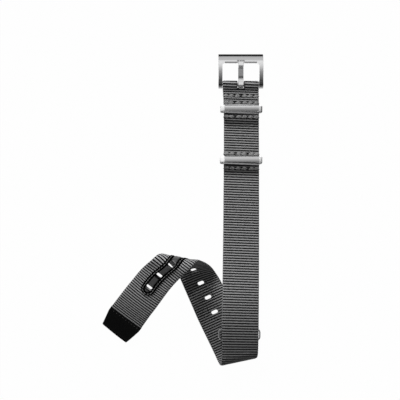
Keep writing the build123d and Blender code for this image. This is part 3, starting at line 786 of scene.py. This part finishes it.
def webbing_material(colours, sizes):
    nodes = new_material("ribbed_webbing")
    place = nodes.add("UVMap", uv_map="flat").outputs[0]
    weave = nodes.group("Rib weave", weave_group, Place=place, Pitch=sizes.rib_pitch / MM, Yarn=0.62)
    top = nodes.mix(weave["Shade"], solid(colours.rib, 0.70), solid(colours.rib, 1.30))
    # Only a rib's crest takes the rib colour; the rest of the rib and its groove take the nearly black groove
    # colour, which is partly the webbing's own tone and mostly painted shade.
    share = nodes.remap(weave["Rib"], 0.79, 0.99, kind="SMOOTHSTEP")
    # Painted shade beside the stitch rows and round the tongue's slot: marked points get darker grooves, and
    # ribs nearly as dark as the grooves.
    pressed = nodes.marked("pressed")
    groove_tone_and_shade = nodes.mix(pressed, solid(colours.groove), solid(colours.groove, 0.4))
    top = nodes.mix(nodes.times(pressed, 0.88), top, solid(colours.groove, 1.5))
    # Painted shade: the webbing's colour darkens towards the big fold, below -44 mm along Y, as if the light
    # fell off there.
    painted_falloff = nodes.ramp_along(-90.0, 90.0, (
        (-90.0, 0.52), (-72.0, 0.55), (-58.0, 0.72), (-44.0, 1.0), (90.0, 1.0)))
    nodes.look(
        Base_Color=nodes.mix(share, groove_tone_and_shade, nodes.mix(painted_falloff, groove_tone_and_shade, top)), Roughness=0.82,
        Specular_IOR_Level=0.25, Sheen_Weight=0.15, Sheen_Roughness=0.5)
    nodes.bumped(weave["Height"], 0.00005, 0.7)


def thread_material(name, colour, scale, factor=1.0):
    nodes = new_material(name)
    fibre = nodes.group("Thread fibre", fibre_group, Place=nodes.place(), Scale=scale)["Fibre"]
    colour = [value * factor for value in colour]
    tone = nodes.mix(fibre, solid(colour, 0.35), solid(colour, 1.65))
    nodes.look(Base_Color=tone, Roughness=0.7, Sheen_Weight=0.2)
    nodes.bumped(fibre, 0.00006, 0.8)


def leather_material(name, colour, scale, roughness, depth, gloss, rim=False):
    """Leather, which is dull and black where a rim isn't marked as panel."""
    nodes = new_material(name)
    grain = nodes.group("Leather grain", grain_group, Place=nodes.place(), Scale=scale)
    tone = nodes.mix(grain["Patch"], solid(colour, 0.6), solid(colour, 1.4))
    if rim:
        panel = nodes.marked("panel")
        tone = nodes.mix(panel, solid(colour, 0.03), tone)
        gloss = nodes.times(panel, gloss)
    rough = nodes.remap(grain["Patch"], 0.0, 1.0, roughness - 0.08, roughness + 0.1)
    nodes.look(Base_Color=tone, Roughness=rough, Specular_IOR_Level=gloss)
    nodes.bumped(grain["Height"], depth, 0.8)


def steel_material(name, colour, stretch, roughness, depth=0.0000015, tone=1.0):
    nodes = new_material(name)
    brush = nodes.group("Brushing", brush_group, Place=nodes.place(), Stretch=stretch)
    # A tone above 1 brightens this part's copy of the one steel: painted light.
    colour = nodes.mix(brush["Height"], solid(colour, 0.86 * tone), solid(colour, 1.08 * tone))
    rough = nodes.remap(brush["Smear"], 0.0, 1.0, roughness * 0.85, roughness * 1.15)
    nodes.look(Base_Color=colour, Metallic=1.0, Roughness=rough)
    if depth > 0:
        nodes.bumped(brush["Height"], depth, 0.6)
    return nodes


def keeper_finish(nodes, middle):
    """Gently rounded front, with painted white reflections on the loops at both sides of it and painted shade
    at its right end.
    """
    offs = (-2.4, -1.7, -1.2, -0.6, 0, 0.6, 1.2, 1.7, 2.4)
    dome = [(middle + off, 0.40 + 0.030 * off - 0.062 * off**2) for off in offs]
    nodes.bumped(nodes.ramp_along(middle - 2.4, middle + 2.4, dome), 0.001)
    aside = nodes.minus(nodes.apart(nodes.place())[0], BAR_PLACE[0] * MM)
    aside = nodes.math("DIVIDE", aside, MM)
    # Painted reflection: the loops at both sides are white and not metallic; beyond 11.25 mm to the right the
    # keeper is painted nearly black as shade.
    loop = nodes.remap(nodes.math("ABSOLUTE", nodes.minus(aside, 0.15)), 9.55, 9.85)
    tone = nodes.mix(loop, nodes.base(), (0.95, 0.95, 0.95, 1))
    tone = nodes.mix(nodes.math("GREATER_THAN", aside, 11.25), tone, (0.03, 0.03, 0.03, 1))
    nodes.look(Base_Color=tone, Metallic=nodes.minus(1.0, loop), Specular_IOR_Level=0.0)


def frame_finish(nodes):
    """Painted dark reflections: darker where the frame faces the buckle's end, as on its chamfer, and in
    bands along the legs beside the bar.
    """
    facing = nodes.apart(nodes.add("NewGeometry").outputs["Normal"])[1]
    # Painted dark reflection on faces turned towards the buckle's end.
    edge = nodes.remap(facing, 0.55, 0.72, 1.0, 0.16, "SMOOTHSTEP")
    # Painted dark reflections in bands along the legs beside the bar.
    painted_dark_reflection = nodes.ramp_along(68.0, 88.0, (
        (68.0, 0.52), (69.6, 0.52), (69.9, 0.06), (72.0, 0.11), (73.0, 0.58), (74.5, 0.76), (78.0, 0.80),
        (80.0, 0.94), (82.8, 1.0), (83.9, 1.0), (84.1, 0.74), (86.35, 0.72), (86.5, 0.03), (88.0, 0.03)))
    nodes.look(Base_Color=nodes.mix(nodes.times(edge, painted_dark_reflection), BLACK, nodes.base()))


def tongue_finish(nodes):
    """Shallow bends of the tongue: a raised end, a dip before the curl and a bright curl, with painted dark
    reflections in bands along it.
    """
    height = nodes.ramp_along(68.5, 84.5, (
        (68.5, 0.60), (72.2, 0.14), (73.3, 0.14), (75.0, 0.37), (80.7, 0.37), (84.5, 0.03)))
    nodes.bumped(height, 0.002)
    # Painted dark reflections: bands of the tongue darkened towards black.
    shade = nodes.ramp_along(68.5, 84.5, (
        (68.5, 1.0), (73.2, 0.92), (73.9, 0.50), (75.5, 0.50), (75.8, 0.58), (79.0, 0.58), (79.3, 0.83),
        (80.4, 0.83), (80.7, 1.0), (84.5, 1.0)))
    nodes.look(Base_Color=nodes.mix(shade, BLACK, nodes.base()))


def wear(piece, material):
    piece.data.materials.clear()
    piece.data.materials.append(bpy.data.materials[material])


# Pieces


def webbing(name, course, length, skew, rows=(), slots=None):
    """Flat ribbed strip in millimetres, cut and then folded along its course."""
    sizes = bpy.context.scene.strap_sizes
    pitch = sizes.rib_pitch / MM
    piece = flat_slab(name, 22, int(math.ceil(length / pitch)) * 6)
    flat = points_of(piece)
    along = (flat[:, 1] + 0.5) * length
    phase = along / pitch - np.floor(along / pitch + 1e-9)
    dome = np.sqrt(np.clip(1 - (2 * phase - 1) ** 2, 0, 1))
    width = sizes.width / MM / 2 - sizes.scallop / MM * (1 - dome)
    share = flat[:, 0] * 2
    rounding = np.sqrt(np.clip(1 - np.clip((np.abs(share) - 0.94) / 0.06, 0, 1) ** 2 * 0.75, 0, 1))
    half = (sizes.thickness / MM / 2 + sizes.rib_height / MM * dome) * rounding
    set_points(piece, np.stack((share * width, along, np.sign(flat[:, 2]) * half), axis=1))
    if slots:
        slots(piece)
    press(piece, rows)
    fold_piece(piece, course, skew)
    tidy(piece)
    wear(piece, "ribbed_webbing")
    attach(piece, "strap")
    return piece


def press(piece, rows):
    """Thins the webbing where thick stitches press it down, and marks those points and the slot's edge, where
    the colour is darkened as painted shade.
    """
    flat = points_of(piece)
    near = np.zeros(len(flat))
    for place in rows:
        near = np.maximum(near, np.clip(1.6 - np.abs(flat[:, 1] - place) / 0.85, 0, 1))
    near *= np.clip((9.4 - np.abs(flat[:, 0])) / 0.5, 0, 1)
    # The webbing round the tongue's slot behind the fold is marked too, for painted shade in the slot.
    if len(rows) > 3:
        behind = (np.abs(flat[:, 0]) < 2.3) & (flat[:, 1] > FOLD_START - 7) & (flat[:, 1] < FOLD_START + 8)
        near = np.where(behind, 1.0, near)
    mark_points(piece, "pressed", near)
    flat[:, 2] *= 1 - 0.12 * near
    set_points(piece, flat)


class StrapPiece:
    """What every operator of this strap has in common."""

    bl_options = {"REGISTER", "UNDO"}


class STRAP_OT_materials(StrapPiece, Operator):
    """Makes the materials of the webbing, the thread, the leather and the steel"""

    bl_idname = "strap.materials"
    bl_label = "Materials"

    def execute(self, context):
        colours = context.scene.strap_colours
        webbing_material(colours, context.scene.strap_sizes)
        thread_material("thick_thread", colours.thread, 2600.0)
        thread_material("lining_thread", colours.seam, 5200.0, 0.30)
        thread_material("sunk_thread", colours.seam, 5200.0, 0.07)
        leather_material("smooth_hide", colours.lining, 2600.0, 0.36, 0.00001, 0.45, True)
        leather_material("grained_hide", colours.tip, 1700.0, 0.5, 0.00006, 0.10)
        steel = colours.steel
        # Painted light: the one steel is made brighter on the frame (1.4), the tongue (1.45) and the first
        # keeper (1.6) than on the other parts.
        frame_finish(steel_material("frame_steel", steel, (60.0, 5200.0, 5200.0), 0.30, tone=1.4))
        tongue_finish(steel_material("tongue_steel", steel, (5200.0, 60.0, 5200.0), 0.30, tone=1.45))
        steel_material("loop_metal", steel, (50.0, 4200.0, 4200.0), 0.25)
        for name, middle, tone in (("first", 56.1, 1.6), ("second", 26.9, 1.0)):
            nodes = steel_material("keeper_steel_" + name, steel, (50.0, 4200.0, 4200.0), 0.22, tone=tone)
            keeper_finish(nodes, middle)
        steel_material("turned_metal", steel, (3000.0, 3000.0, 3000.0), 0.32, 0.0)
        return {"FINISHED"}


# Rows of thick stitches, in millimetres from the spring bar.
# The first three go through the tail, and the others through the short strip.
ROW_PLACES = (6.55, 10.45, 18.45, 39.65, 48.0)
STITCH_LIFT, STITCH_PITCH, STITCH_REACH = 0.62, 3.62, 8.4
EYE_STITCH_PITCH = 3.7

# Cuts through the webbing, and how far it reaches into the tip
CUT_DEPTH = 4.0
SLOT_WIDTH, SLOT_BEYOND_FOLD, SLOT_CORNER = 3.7, 2.4, 0.6
TIP_OVERLAP = 1.6


class STRAP_OT_long_strip(StrapPiece, Operator):
    """Makes the long strip of ribbed webbing with its holes and the tongue's slot"""

    bl_idname = "strap.long_strip"
    bl_label = "Long strip"

    def execute(self, context):
        sizes = context.scene.strap_sizes
        rows = [upper_distance(place) for place in ROW_PLACES]
        rows += [tail_distance(place) for place in ROW_PLACES[:3]]

        def slots(piece):
            cut_holes(piece, sizes, CUT_DEPTH)
            length = math.pi * FOLD_RADIUS + 2 * SLOT_BEYOND_FOLD
            cutter = slot_cutter(
                "tongue_slot", SLOT_WIDTH, [length], CUT_DEPTH, [FOLD_MIDDLE], SLOT_CORNER)
            cut(piece, cutter)

        length = FLAT_LENGTH - context.scene.leather_sizes.tip_length / MM + TIP_OVERLAP
        piece = webbing("long_webbing", LONG, length, sizes.rib_skew, rows, slots)
        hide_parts("main_strap")
        return {"FINISHED"}


class STRAP_OT_short_strip(StrapPiece, Operator):
    """Makes the short strip that holds the end keeper in its eye"""

    bl_idname = "strap.short_strip"
    bl_label = "Short strip"

    def execute(self, context):
        rows = [short_distance(place) for place in ROW_PLACES[3:]]
        piece = webbing("short_webbing", SHORT, SHORT.length, 0.0, rows)
        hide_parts("short_strap")
        return {"FINISHED"}


def bead_of(name, rings, axis):
    """A small ball with its poles along an axis, its points and how far each one lies along that axis."""
    deselect()
    bpy.ops.mesh.primitive_uv_sphere_add(segments=8, ring_count=rings, radius=1)
    bead = named(name)
    bead.data.transform(Matrix.Rotation(math.radians(90), 4, axis))
    return bead, points_of(bead)


def fuller(reach, least):
    """How much thicker a thread is than a ball, at a share of the way from its middle to its end."""
    return np.sqrt(np.clip(1 - reach**4, least, 1)) / np.sqrt(np.clip(1 - reach**2, least, 1))


def thread_float():
    """One float of thick thread: three strands side by side whose ends dive into the webbing."""
    strands = []
    for index in range(3):
        strand, points = bead_of("strand", 9, "Y")
        reach = points[:, 0].copy()
        thick = fuller(reach, 0.02)
        points[:, 1] = points[:, 1] * thick * 0.33 + 0.10 * np.sin(reach * 2.4 + index) + (index - 1) * 0.50
        points[:, 2] = points[:, 2] * thick * 0.27 - 0.34 * reach**2 + 0.06 * math.cos(index)
        points[:, 0] = reach * 1.50 + (index - 1) * 0.30
        set_points(strand, points)
        strands.append(strand)
    return joined("float", strands)


class STRAP_OT_stitch_rows(StrapPiece, Operator):
    """Makes the rows of thick stitches beside the keepers, on both faces of the sewn layers"""

    bl_idname = "strap.stitch_rows"
    bl_label = "Stitch rows"

    def execute(self, context):
        model = thread_float()
        for number, place in enumerate(ROW_PLACES, 1):
            under = (LONG, tail_distance(place), -1) if number < 4 else (SHORT, short_distance(place), 1)
            layers = []
            for (course, distance, side), nudge in (((LONG, upper_distance(place), -1), 0.0), (under, 0.6)):
                floats = []
                for index in range(6):
                    across = (index - 2.5) * STITCH_PITCH + nudge + 0.35 * math.sin(index * 2.3 + number)
                    across = max(-STITCH_REACH, min(STITCH_REACH, across))
                    slant = -side * math.radians(15 + 5 * math.sin(index * 1.7 + number * 2.1))
                    flip = "X" if side < 0 else None
                    floats.append(placed(model, across, distance, side * STITCH_LIFT, slant, flip))
                layers.append(joined("stitch_layer", floats))
                fold_piece(layers[-1], course, 0.02 if course is LONG else 0.0)
            piece = joined(f"stitch_row_{number}", layers)
            tidy(piece, 80.0)
            wear(piece, "thick_thread")
            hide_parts(f"stitch_row_{number}")
            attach(piece, "strap")
        middle = SHORT.length - EYE_TAIL / 2
        floats = [placed(model, (index - 2) * EYE_STITCH_PITCH, middle, -STITCH_LIFT, math.radians(10), "X")
                  for index in range(5)]
        piece = joined("stitch_eye", floats)
        fold_piece(piece, SHORT)
        tidy(piece, 80.0)
        wear(piece, "thick_thread")
        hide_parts("end_stitching")
        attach(piece, "strap")
        bpy.data.objects.remove(model)
        return {"FINISHED"}


def lining_ends():
    scene = bpy.context.scene
    places = hole_places(scene.strap_sizes)
    margin = scene.leather_sizes.lining_margin / MM
    return places[-1] - margin, places[0] + margin


def beyond_straight(along, half):
    """How far a place lies into the lining's round ends."""
    start, end = lining_ends()
    return np.clip(np.maximum(start + half - along, along - (end - half)), 0, half)


def lining_inset(across, along, half):
    """Distance in from the lining's round-ended outline."""
    return half - np.hypot(across, beyond_straight(along, half))


def rounded(inset, radius):
    """Share of the full height at a distance in from an edge that is rounded over a radius."""
    return np.sqrt(np.clip(1 - np.clip(1 - inset / radius, 0, 1) ** 2, 0, 1))


def groove(off):
    """Share of a pressed line's depth at a distance off its middle."""
    return np.exp(-((off / 0.17) ** 2))


def leather_profile(inset, rim, low, high):
    """Height of the lining over the webbing at a distance in from its edge."""
    edge = rounded(inset, 0.35)
    panel = np.clip((inset - rim) / 0.45, 0, 1)
    return low * edge + (high - low) * (panel * panel * (3 - 2 * panel)) - 0.34 * groove(inset - rim) * edge


RIM_THICKNESS = 0.55


class STRAP_OT_lining(StrapPiece, Operator):
    """Makes the leather strip round the holes, with its rim and its smooth panel"""

    bl_idname = "strap.lining"
    bl_label = "Lining"

    def execute(self, context):
        sizes = context.scene.strap_sizes
        leather = context.scene.leather_sizes
        start, end = lining_ends()
        rim = leather.rim_width / MM
        thickness = leather.lining_thickness / MM
        shares = [0, 0.03, 0.06, 0.10, 0.18, 0.26, 0.35, 0.44, 0.50, 0.53, 0.56, 0.59, 0.62, 0.68, 0.82]
        shares = shares + [1.0] + [2 - share for share in reversed(shares)]
        columns = len(shares) - 1
        piece = flat_slab("hole_lining_leather", columns, int((end - start) / 0.36))
        flat = points_of(piece)
        half = leather.lining_width / MM / 2
        column = np.rint((flat[:, 0] + 0.5) * columns).astype(int)
        along = start + (flat[:, 1] + 0.5) * (end - start)
        narrowing = np.sqrt(np.clip(1 - (beyond_straight(along, half) / half) ** 2, 0, 1))
        across = (np.array(shares)[column] - 1) * half * narrowing
        bottom = -WEBBING / 2 + 0.02
        height = leather_profile(lining_inset(across, along, half), rim, RIM_THICKNESS, thickness)
        level = np.where(flat[:, 2] > 0, bottom, bottom - 0.02 - height)
        set_points(piece, np.stack((across, along, level), axis=1))
        tidy(piece, merge=0.0005)
        cut_holes(piece, sizes, 6.0, 0.5)
        across, along, _ = points_of(piece).T
        panel = np.clip((lining_inset(across, along, half) - rim - 0.1) / 0.25, 0, 1)
        for place in hole_places(sizes):
            off = np.maximum(np.abs(across) - 1.95, np.abs(along - place) - 1.4)
            panel = np.minimum(panel, np.clip((off - 0.1) / 0.4, 0, 1))
        mark_points(piece, "panel", panel)
        fold_piece(piece, LONG)
        tidy(piece)
        wear(piece, "smooth_hide")
        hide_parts("hole_lining")
        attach(piece, "strap")
        return {"FINISHED"}


def small_stitch(length, width, height):
    """One short stitch of thin thread, a flattened bead with a raised middle."""
    bead, points = bead_of("bead", 6, "X")
    reach = points[:, 1].copy()
    full = fuller(reach, 0.03)
    points[:, 0] *= full * width / 2
    points[:, 2] = points[:, 2] * full * height - 0.12 * reach**2
    points[:, 1] *= length / 2
    set_points(bead, points)
    return bead


SEAM_PITCH, SEAM_INSET = 1.75, 1.15


class STRAP_OT_lining_seam(StrapPiece, Operator):
    """Makes the small stitches round the lining, on the leather and on the webbing's other face"""

    bl_idname = "strap.lining_seam"
    bl_label = "Lining seam"

    def execute(self, context):
        start, end = lining_ends()
        half = context.scene.leather_sizes.lining_width / MM / 2
        reach = half - SEAM_INSET
        bead = small_stitch(1.5, 0.42, 0.17)
        first, last = start + half, end - half
        count = round((last - first) / SEAM_PITCH)
        places = [(first + (last - first) * (index + 0.5) / count, side * reach, 0.0)
                  for side in (-1, 1) for index in range(count)]
        turns = round(math.pi * reach / SEAM_PITCH)
        for centre, way in ((first, -1), (last, 1)):
            for index in range(turns):
                angle = math.pi * (index + 0.5) / turns
                places.append((centre + way * reach * math.sin(angle), reach * math.cos(angle), way * angle))
        faces = []
        for level, thread, flip in (
            (WEBBING / 2 - 0.02, "sunk_thread", None), (-WEBBING / 2 - 0.58, "lining_thread", "Y")
        ):
            stitches = [placed(bead, across, along, level, turn, flip) for along, across, turn in places]
            faces.append(joined("seam_face", stitches))
            wear(faces[-1], thread)
        bpy.data.objects.remove(bead)
        piece = joined("lining_seam", faces)
        fold_piece(piece, LONG)
        tidy(piece, 80.0)
        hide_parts("lining_stitching")
        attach(piece, "strap")
        return {"FINISHED"}


def tip_half_width(along):
    """Half the tip's width at a distance before its end, in millimetres."""
    scene = bpy.context.scene
    length = scene.leather_sizes.tip_length / MM
    side = scene.strap_sizes.width / MM / 2 + 0.12
    return np.interp(along, [0, length - 2.3, length], [scene.leather_sizes.tip_end / MM / 2, side, side])


# Pressed lines of the tip: along its border, and at its mouth beneath the seam
TIP_BORDER, TIP_MOUTH, TIP_GROOVE = 1.15, 0.95, 0.10


class STRAP_OT_tip(StrapPiece, Operator):
    """Makes the leather tip with its rounded edges and its pressed border line"""

    bl_idname = "strap.tip"
    bl_label = "Tip"

    def execute(self, context):
        leather = context.scene.leather_sizes
        length = leather.tip_length / MM
        thick = leather.tip_thickness / MM / 2
        piece = flat_slab("leather_tip", 64, 44)
        flat = points_of(piece)
        back = (0.5 - flat[:, 1]) * length
        front = length - back
        corner = 0.5
        over = np.clip(corner - back, 0, corner)
        half = tip_half_width(back) - (corner - np.sqrt(np.clip(corner**2 - over**2, 0, None)))
        across = flat[:, 0] * 2 * half
        aside = half - np.abs(across)
        border = np.minimum(aside, back)
        inset = np.minimum(border, front + 0.25)
        line = groove(border - TIP_BORDER) * np.clip((front - 0.9) / 0.3, 0, 1)
        mouth = groove(front - TIP_MOUTH) * (aside > 1.1)
        level = thick * (0.55 + 0.45 * rounded(inset, 0.45)) - TIP_GROOVE * np.maximum(line, mouth)
        level = level + 0.05 * np.cos(across / 9.0) * np.clip(inset / 2.0, 0, 1)
        set_points(piece, np.stack((across, FLAT_LENGTH - back, np.sign(flat[:, 2]) * level), axis=1))
        fold_piece(piece, LONG)
        tidy(piece)
        wear(piece, "grained_hide")
        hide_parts("tip_cap")
        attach(piece, "strap")
        return {"FINISHED"}


class STRAP_OT_tip_seam(StrapPiece, Operator):
    """Makes the row of small stitches across the tip's mouth, on both faces"""

    bl_idname = "strap.tip_seam"
    bl_label = "Tip seam"

    def execute(self, context):
        leather = context.scene.leather_sizes
        along = FLAT_LENGTH - leather.tip_length / MM + TIP_MOUTH
        thick = leather.tip_thickness / MM / 2
        bead = small_stitch(1.3, 0.34, 0.12)
        level = thick - TIP_GROOVE
        stitches = [placed(bead, (index - 4) * 1.95, along, side * level, math.radians(90), flip)
                    for side, flip in ((-1, "Y"), (1, None)) for index in range(9)]
        bpy.data.objects.remove(bead)
        piece = joined("tip_seam", stitches)
        fold_piece(piece, LONG)
        tidy(piece, 80.0)
        wear(piece, "sunk_thread")
        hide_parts("tip_stitching")
        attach(piece, "strap")
        return {"FINISHED"}


class STRAP_OT_buckle(StrapPiece, Operator):
    """Finishes the buckle's frame and tongue and the spring bar in brushed and turned steel"""

    bl_idname = "strap.buckle"
    bl_label = "Buckle"

    def execute(self, context):
        wear(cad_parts["buckle_frame"], "frame_steel")
        wear(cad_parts["buckle_tongue"], "tongue_steel")
        for part in ("tube", "spring", "plunger_left", "plunger_right"):
            wear(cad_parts["spring_bar_" + part], "turned_metal")
        return {"FINISHED"}


class STRAP_OT_keepers(StrapPiece, Operator):
    """Finishes the keepers in steel with a brushed front"""

    bl_idname = "strap.keepers"
    bl_label = "Keepers"

    def execute(self, context):
        wear(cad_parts["keeper_first"], "keeper_steel_first")
        wear(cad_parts["keeper_second"], "keeper_steel_second")
        wear(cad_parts["keeper_end"], "loop_metal")
        return {"FINISHED"}


def lamp(name, kind, place, target, **values):
    """A soft lamp that shines from its place towards a target, unseen in the steel."""
    data = bpy.data.lights.new(name, kind)
    for key, value in values.items():
        setattr(data, key, value)
    light = bpy.data.objects.new(name, data)
    bpy.context.collection.objects.link(light)
    light.location = place
    light.rotation_euler = (Vector(target) - Vector(place)).to_track_quat("-Z", "Y").to_euler()
    light.visible_glossy = False


class STRAP_OT_stage(StrapPiece, Operator):
    """Sets up the white floor, the soft lights and the camera straight above"""

    bl_idname = "strap.stage"
    bl_label = "Stage"

    # Brightness that the steel mirrors, by the direction's lean from straight up towards the buckle's end
    band = (
        (-90, 0.28), (-60, 0.28), (-45, 0.18), (-30, 0.08), (-16, 0.08), (-8, 0.15), (0, 0.28), (10, 0.38),
        (20, 0.62), (30, 0.90), (40, 0.92), (50, 0.74), (58, 0.68), (66, 0.32), (76, 0.12), (90, 0.06),
    )

    def execute(self, context):
        self.floor()
        self.sky(context.scene)
        lamp("key_light", "SUN", (-0.50, 1.58, 1.00), (0, 0, 0), energy=3.55, angle=math.radians(20.0))
        lamp("arch_light", "SPOT", (-0.30, 0.08, 0.42), (-0.031, -0.036, 0.020), energy=5.5,
             spot_size=math.radians(8.0), spot_blend=1.0, shadow_soft_size=0.03)
        camera = bpy.data.objects.new("camera", bpy.data.cameras.new("camera"))
        context.collection.objects.link(camera)
        camera.location = SEEN_FROM
        camera.data.sensor_width = 36.0
        camera.data.lens = 54.97
        camera.data.clip_start = 0.01
        camera.data.clip_end = 20.0
        context.scene.camera = camera
        context.scene.view_settings.view_transform = "Standard"
        return {"FINISHED"}

    @staticmethod
    def floor():
        """A grey floor that takes the shadow and shows nearly white."""
        deselect()
        bpy.ops.mesh.primitive_plane_add(size=3, location=(0, 0, -0.00003))
        floor = named("floor")
        nodes = new_material("white_floor")
        nodes.look(Base_Color=(0.50, 0.50, 0.50, 1), Roughness=0.9, Specular_IOR_Level=0.0)
        seen = nodes.add("LightPath").outputs
        shown = nodes.math("MAXIMUM", seen["Is Camera Ray"], seen["Is Glossy Ray"])
        shown = nodes.math("MAXIMUM", shown, seen["Is Transmission Ray"])
        glow = nodes.add("Emission", {"Strength": 1.0}).outputs[0]
        nodes.feed(nodes.out, {0: nodes.blend(nodes.times(shown, 0.985), nodes.shader.outputs[0], glow)})
        wear(floor, "white_floor")

    def sky(self, scene):
        """Plain grey surroundings, and for the steel a bright band behind the buckle."""
        scene.world = bpy.data.worlds.new("studio")
        scene.world.use_nodes = True
        nodes = Nodes(scene.world.node_tree)
        x, y, z = nodes.apart(nodes.add("TexCoord").outputs["Generated"])
        turn = nodes.plus(nodes.math("DIVIDE", nodes.math("ARCTAN2", y, z), math.pi), 0.5)
        band = nodes.ramp(turn, [(0.5 + degrees / 180, level) for degrees, level in self.band])
        side = nodes.remap(nodes.math("ABSOLUTE", x), 0.45, 0.95, 1.0, 0.25, "SMOOTHSTEP")
        mirrored = nodes.add("Background", {"Color": band, "Strength": side}).outputs[0]
        light = nodes.add("Background", {"Strength": 0.22}).outputs[0]
        white = nodes.add("Background", {"Strength": 1.0}).outputs[0]
        seen = nodes.add("LightPath").outputs
        plain = nodes.blend(seen["Is Glossy Ray"], light, mirrored)
        bare = nodes.math("MAXIMUM", seen["Is Camera Ray"], seen["Is Transmission Ray"])
        nodes.add("OutputWorld", {0: nodes.blend(bare, plain, white)})


class STRAP_PT_panel(Panel):
    """Lists the strap's pieces in the order in which they are made"""

    bl_idname = "STRAP_PT_panel"
    bl_label = "Watch Strap"
    bl_space_type = "VIEW_3D"
    bl_region_type = "UI"
    bl_category = "Watch Strap"

    def draw(self, context):
        for group in (context.scene.strap_sizes, context.scene.leather_sizes, context.scene.strap_colours):
            for name in group.__annotations__:
                self.layout.prop(group, name)
        for operator in OPERATORS:
            self.layout.operator(operator.bl_idname)


OPERATORS = (
    STRAP_OT_materials, STRAP_OT_long_strip, STRAP_OT_short_strip, STRAP_OT_stitch_rows, STRAP_OT_lining,
    STRAP_OT_lining_seam, STRAP_OT_tip, STRAP_OT_tip_seam, STRAP_OT_buckle, STRAP_OT_keepers, STRAP_OT_stage,
)
CLASSES = (StrapSizes, LeatherSizes, StrapColours) + OPERATORS + (STRAP_PT_panel,)


def register():
    for item in CLASSES:
        bpy.utils.register_class(item)
    bpy.types.Scene.strap_sizes = PointerProperty(type=StrapSizes)
    bpy.types.Scene.leather_sizes = PointerProperty(type=LeatherSizes)
    bpy.types.Scene.strap_colours = PointerProperty(type=StrapColours)


def unregister():
    del bpy.types.Scene.strap_colours
    del bpy.types.Scene.leather_sizes
    del bpy.types.Scene.strap_sizes
    for item in reversed(CLASSES):
        bpy.utils.unregister_class(item)


def main():
    register()
    for operator in OPERATORS:
        group, name = operator.bl_idname.split(".")
        getattr(getattr(bpy.ops, group), name)()
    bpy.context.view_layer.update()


if __name__ == "__main__":
    main()
